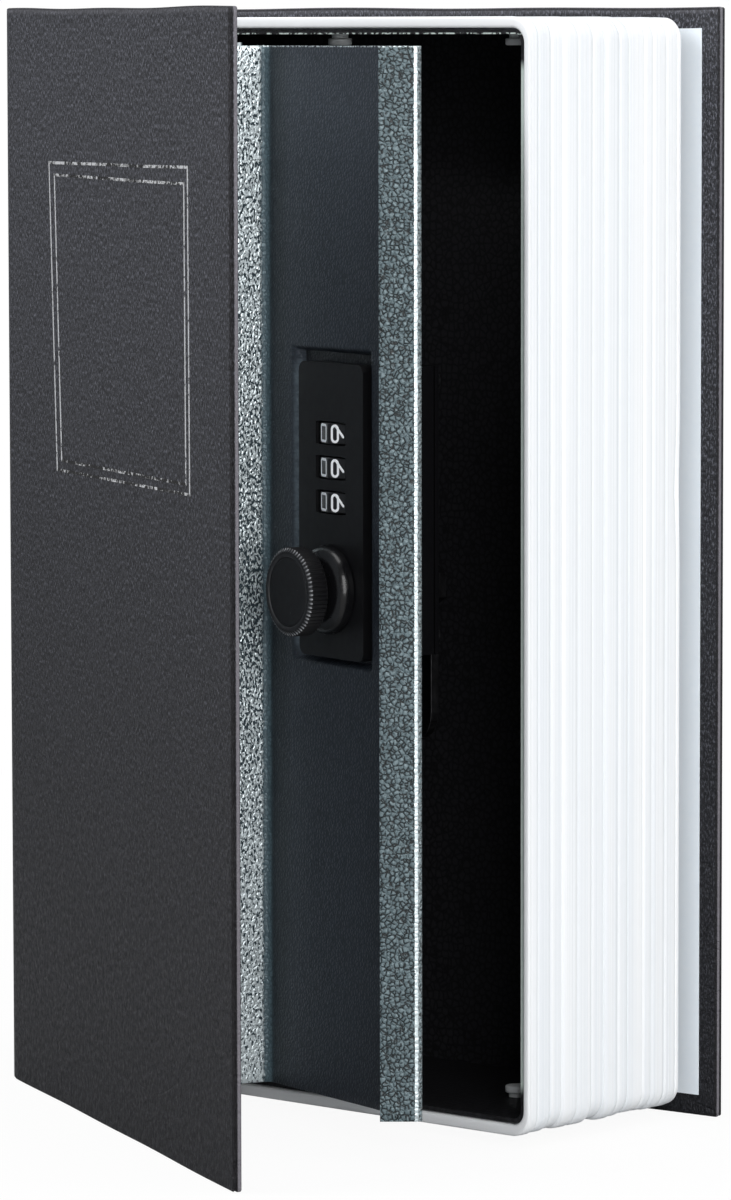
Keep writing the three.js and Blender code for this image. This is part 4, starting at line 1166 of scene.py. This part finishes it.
def arc(centre_x, centre_y, radius_x, radius_y, start, end, steps=14):
    """Points of an ellipse's arc, with angles in degrees."""
    turn = np.radians(np.linspace(start, end, steps))
    return zipped(centre_x + radius_x * np.cos(turn), centre_y + radius_y * np.sin(turn))


def rounded_box(half_x, half_y, corner):
    """A closed outline with round corners, from the middle of its right side."""
    turns = [(half_x - corner, half_y - corner, 0), (corner - half_x, half_y - corner, 90),
             (corner - half_x, corner - half_y, 180), (half_x - corner, corner - half_y, 270)]
    parts = [arc(x, y, corner, corner, a, a + 90, 6) for x, y, a in turns]
    return np.concatenate(parts + [parts[0][:1]])


def oval(shift):
    """The bowl of a 6 or a 9: wide and low, with round ends."""
    return rounded_box(1.7, 0.78, 0.77) + (0, shift)


# Each digit's strokes in millimetres, X to its right and Y to its top, about its middle
DIGITS = (
    [rounded_box(1.7, 1.55, 0.5)],
    [[(-0.7, 1.0), (0.1, 1.55), (0.1, -1.55)]],
    [np.concatenate([arc(0, 0.55, 1.4, 1.0, 165, -25), [(-1.45, -1.55), (1.5, -1.55)]])],
    [arc(-0.1, 0.8, 1.3, 0.78, 150, -90), arc(-0.1, -0.77, 1.45, 0.8, 90, -150)],
    [[(0.7, -1.55), (0.7, 1.55), (-1.6, -0.6), (1.6, -0.6)]],
    [np.concatenate([[(1.3, 1.55), (-1.1, 1.55), (-1.3, 0.2)], arc(-0.1, -0.55, 1.5, 1.0, 130, -150)])],
    [oval(-0.6), [(-1.6, -0.35), (0.6, 1.55)]],
    [[(-1.5, 1.55), (1.5, 1.55), (-0.4, -1.55)]],
    [arc(0, 0.8, 1.2, 0.76, 90, 450, 28), arc(0, -0.77, 1.5, 0.8, 90, 450, 28)],
    [oval(0.6), [(1.6, 0.35), (-0.6, -1.55)]],
)


def stroke(line, place):
    """A painted stroke: a low half round of the line's width carried along it, closed at its ends."""
    line = np.array(line, float)
    joined = np.allclose(line[0], line[-1])
    path = np.concatenate([np.linspace(a, b, 3)[:-1] for a, b in zip(line, line[1:])] + [line[-1:]])
    tangent, side = directions(path, joined)
    if not joined:
        ends = path[[0, -1]] + tangent[[0, -1]] * [[-DIGIT_LINE / 2], [DIGIT_LINE / 2]]
        path = np.concatenate([ends[:1], path, ends[1:]])
        side = np.concatenate([side[:1] * 0.35, side, side[-1:] * 0.35])
    across = np.array([-1, -0.8, 0, 0.8, 1, 0.5, -0.5, -1]) * DIGIT_LINE / 2
    lift = np.array([0, 0.8, 1, 0.8, 0, -0.3, -0.3, 0]) * DIGIT_THICKNESS
    flat = path[:, None, :] + side[:, None, :] * across[None, :, None]
    at = place(flat[..., 0], flat[..., 1], np.broadcast_to(lift, flat.shape[:2]))
    return (at, np.zeros(2)), [] if joined else [at[0, :-1], at[-1, :-1]]


def facet(digit):
    """The directions along and out of the facet that carries a digit, across and into the door."""
    turn = math.radians(WHEEL_TURN - 360 / FACETS * digit)
    return np.array([math.cos(turn), math.sin(turn)]), np.array([math.sin(turn), -math.cos(turn)])


def add_wheels():
    """Each wheel is a ten-sided drum with eased corners and rims. It has a digit on each facet, with its top
    towards the spine."""
    inner = WHEEL_RADIUS * math.cos(math.pi / FACETS)
    half = WHEEL_RADIUS * math.sin(math.pi / FACETS)
    sides = []
    for digit in range(FACETS):
        along, out = facet(-digit)
        for x, drop in ((-half + 0.16, 0.02), (-half + 0.5, 0), (half - 0.5, 0), (half - 0.16, 0.02)):
            sides.append(out * inner + along * x - out * drop)
    outline = np.array(sides + sides[:1])
    around = outline / np.linalg.norm(outline, axis=1)[:, None]
    bore, rim, thick = around * WHEEL_BORE, outline - around * WHEEL_EASING, WHEEL_HALF_THICKNESS
    rings = [(bore, -thick), (rim, -thick), (outline, WHEEL_EASING - thick), (outline, thick - WHEEL_EASING),
             (rim, thick), (bore, thick), (bore, -thick)]
    for i, height in enumerate(WHEEL_HEIGHTS, 1):
        drum = np.stack([on_lock(ring[:, 0], WHEEL_DEPTH + ring[:, 1], height + lift)
                         for ring, lift in rings])
        piece(f"wheel_{i}_drum", [(drum, np.zeros(2))], WHEEL, f"wheel_{i}",
              stands_for=[f"number_wheel_{i}"], crease=20)
        grids, caps = [], []
        for digit, strokes in enumerate(DIGITS):
            along, out = facet(digit)

            def place(x, y, lift):
                into, back = inner + lift, y + DIGIT_SHIFT
                return on_lock(out[0] * into - along[0] * back,
                               WHEEL_DEPTH + out[1] * into - along[1] * back, height + x)

            for line in strokes:
                grid, ends = stroke(line, place)
                grids.append(grid)
                caps += ends
        piece(f"wheel_{i}_digits", grids, DIGIT, f"wheel_{i}", caps=caps, crease=80)


FRAME_FINISHES = (
    (BOARD, 0.1, "back_board front_board spine_board"),
    (BOX, 0.22, "steel_box"),
    (PLASTIC, 0.3, "lock_faceplate"),
    (CASE, 0.25, "lock_case"),
    (CASE, 0.15, "lock_back_plate"),
    (PLASTIC, 0.15, "change_slider"),
    (BRASS, 0.1, "code_disc_1 code_disc_2 code_disc_3 fence_bar lower_pivot_bush upper_pivot_bush"),
    (DARK_ZINC, 0.15, "latch_keeper latch_cam cam_nut lock_screw_1 lock_screw_2 lock_screw_3 lock_screw_4"),
    (ZINC, 0.15, "wheel_shaft knob_spindle lower_pivot_pin upper_pivot_pin"),
    (SPRING, 0.05, "detent_spring_1 detent_spring_2 detent_spring_3"),
)


def finish_frame_nodes():
    """Carried-over CAD nodes: their loose triangles are merged, their edges eased and their finish set."""
    for finish, width, names in FRAME_FINISHES:
        for name in names.split():
            node = frame["nodes"][name]
            node.data.materials.clear()
            node.data.materials.append(finish)
            weld = node.modifiers.new("merge", "WELD")
            weld.merge_threshold = WELD_REACH
            round_edges(node, width, EASED_ANGLE)
            normals = node.modifiers.new("normals", "WEIGHTED_NORMAL")
            normals.keep_sharp = True


# Surroundings

def add_camera():
    a, e, r = (math.radians(v) for v in (CAMERA_AZIMUTH, CAMERA_ELEVATION, CAMERA_ROLL))
    back = Vector((math.sin(a) * math.cos(e), -math.cos(a) * math.cos(e), math.sin(e)))
    right = Vector((math.cos(a), math.sin(a), 0))
    up = back.cross(right)
    turned_right = right * math.cos(r) + up * math.sin(r)
    turned_up = up * math.cos(r) - right * math.sin(r)
    lens = bpy.data.cameras.new("camera")
    lens.lens = CAMERA_LENS
    lens.sensor_width = CAMERA_SENSOR
    lens.clip_start, lens.clip_end = CAMERA_CLIP
    camera = placed("camera", lens)
    camera.matrix_world = Matrix((turned_right, turned_up, back)).transposed().to_4x4()
    camera.location = Vector(CAMERA_PLACE) * MM
    bpy.context.scene.camera = camera


def add_lamp(name, place, size, watts):
    """A softbox that faces the middle of the book."""
    light = bpy.data.lights.new(name, "AREA")
    light.shape = "RECTANGLE"
    light.size, light.size_y = size
    light.energy = watts
    lamp = placed(name, light)
    lamp.location = place
    lamp.rotation_euler = (Vector(AIM) - Vector(place)).to_track_quat("-Z", "Y").to_euler()


def add_light():
    """A tall softbox at the right, a narrower one at the front right that reaches between the cover and the
    door, a strip behind them, and weak fills from the front left and from above."""
    add_lamp("right_softbox", (1.44, -0.25, 0.32), (1.0, 1.4), 9)
    add_lamp("front_right_softbox", (1.14, -0.96, 0.45), (0.45, 1.2), 12)
    add_lamp("right_strip", (1.3, 0.55, 0.3), (0.22, 1.5), 4)
    add_lamp("front_left_softbox", (-0.35, -0.55, 0.75), (0.4, 0.4), 4.5)
    add_lamp("top_softbox", (0.1, 0.1, 1.5), (1.0, 1.0), 11)
    world = bpy.data.worlds.new("studio")
    bpy.context.scene.world = world
    world.use_nodes = True
    n = Nodes(world.node_tree)
    ray = n.add("LightPath")
    seen = n.most(ray["Is Camera Ray"], ray["Is Transmission Ray"])
    sky = n.mixed(seen, (0.22, 0.224, 0.232, 1), (1, 1, 1, 1))
    n.fill(world.node_tree.nodes["Background"], {"Color": sky, "Strength": 1.0})


def add_floor():
    """A pale floor that shows white and keeps a faint shadow."""
    mesh = bpy.data.meshes.new("floor")
    x = y = FLOOR_HALF
    mesh.from_pydata([(-x, -y, 0), (x, -y, 0), (x, y, 0), (-x, y, 0)], [], [(0, 1, 2, 3)])
    floor = placed("floor", mesh)
    floor.location = (0, 0, FLOOR_LEVEL)
    made = bpy.data.materials.new("floor")
    made.use_nodes = True
    n = Nodes(made.node_tree)
    seen = n.add("LightPath")["Is Camera Ray"]
    shader = made.node_tree.nodes["Principled BSDF"]
    base = n.mixed(seen, (0.45, 0.45, 0.45, 1), (0.8, 0.8, 0.8, 1))
    n.fill(shader, {"Base Color": base, "Roughness": 0.9})
    glow = n.add("Emission", {"Color": (1, 1, 1, 1), "Strength": 1.0})[0]
    reach = n.add("VectorMath", {0: n.on_object()}, operation="LENGTH")["Value"]
    share = n.times(seen, n.spread(reach, 0.1, 0.6, 0.94, 1.0))
    both = n.add("MixShader", {0: share, 1: shader.outputs[0], 2: glow})[0]
    n.fill(made.node_tree.nodes["Material Output"], {"Surface": both})
    mesh.materials.append(made)


add_camera()
add_page_block()
add_covers()
add_joints()
add_endpapers()
add_foil()
add_studs()
add_door()
add_knob()
add_collar()
add_wheels()
finish_frame_nodes()
add_light()
add_floor()
bpy.context.scene.view_settings.view_transform = "Standard"
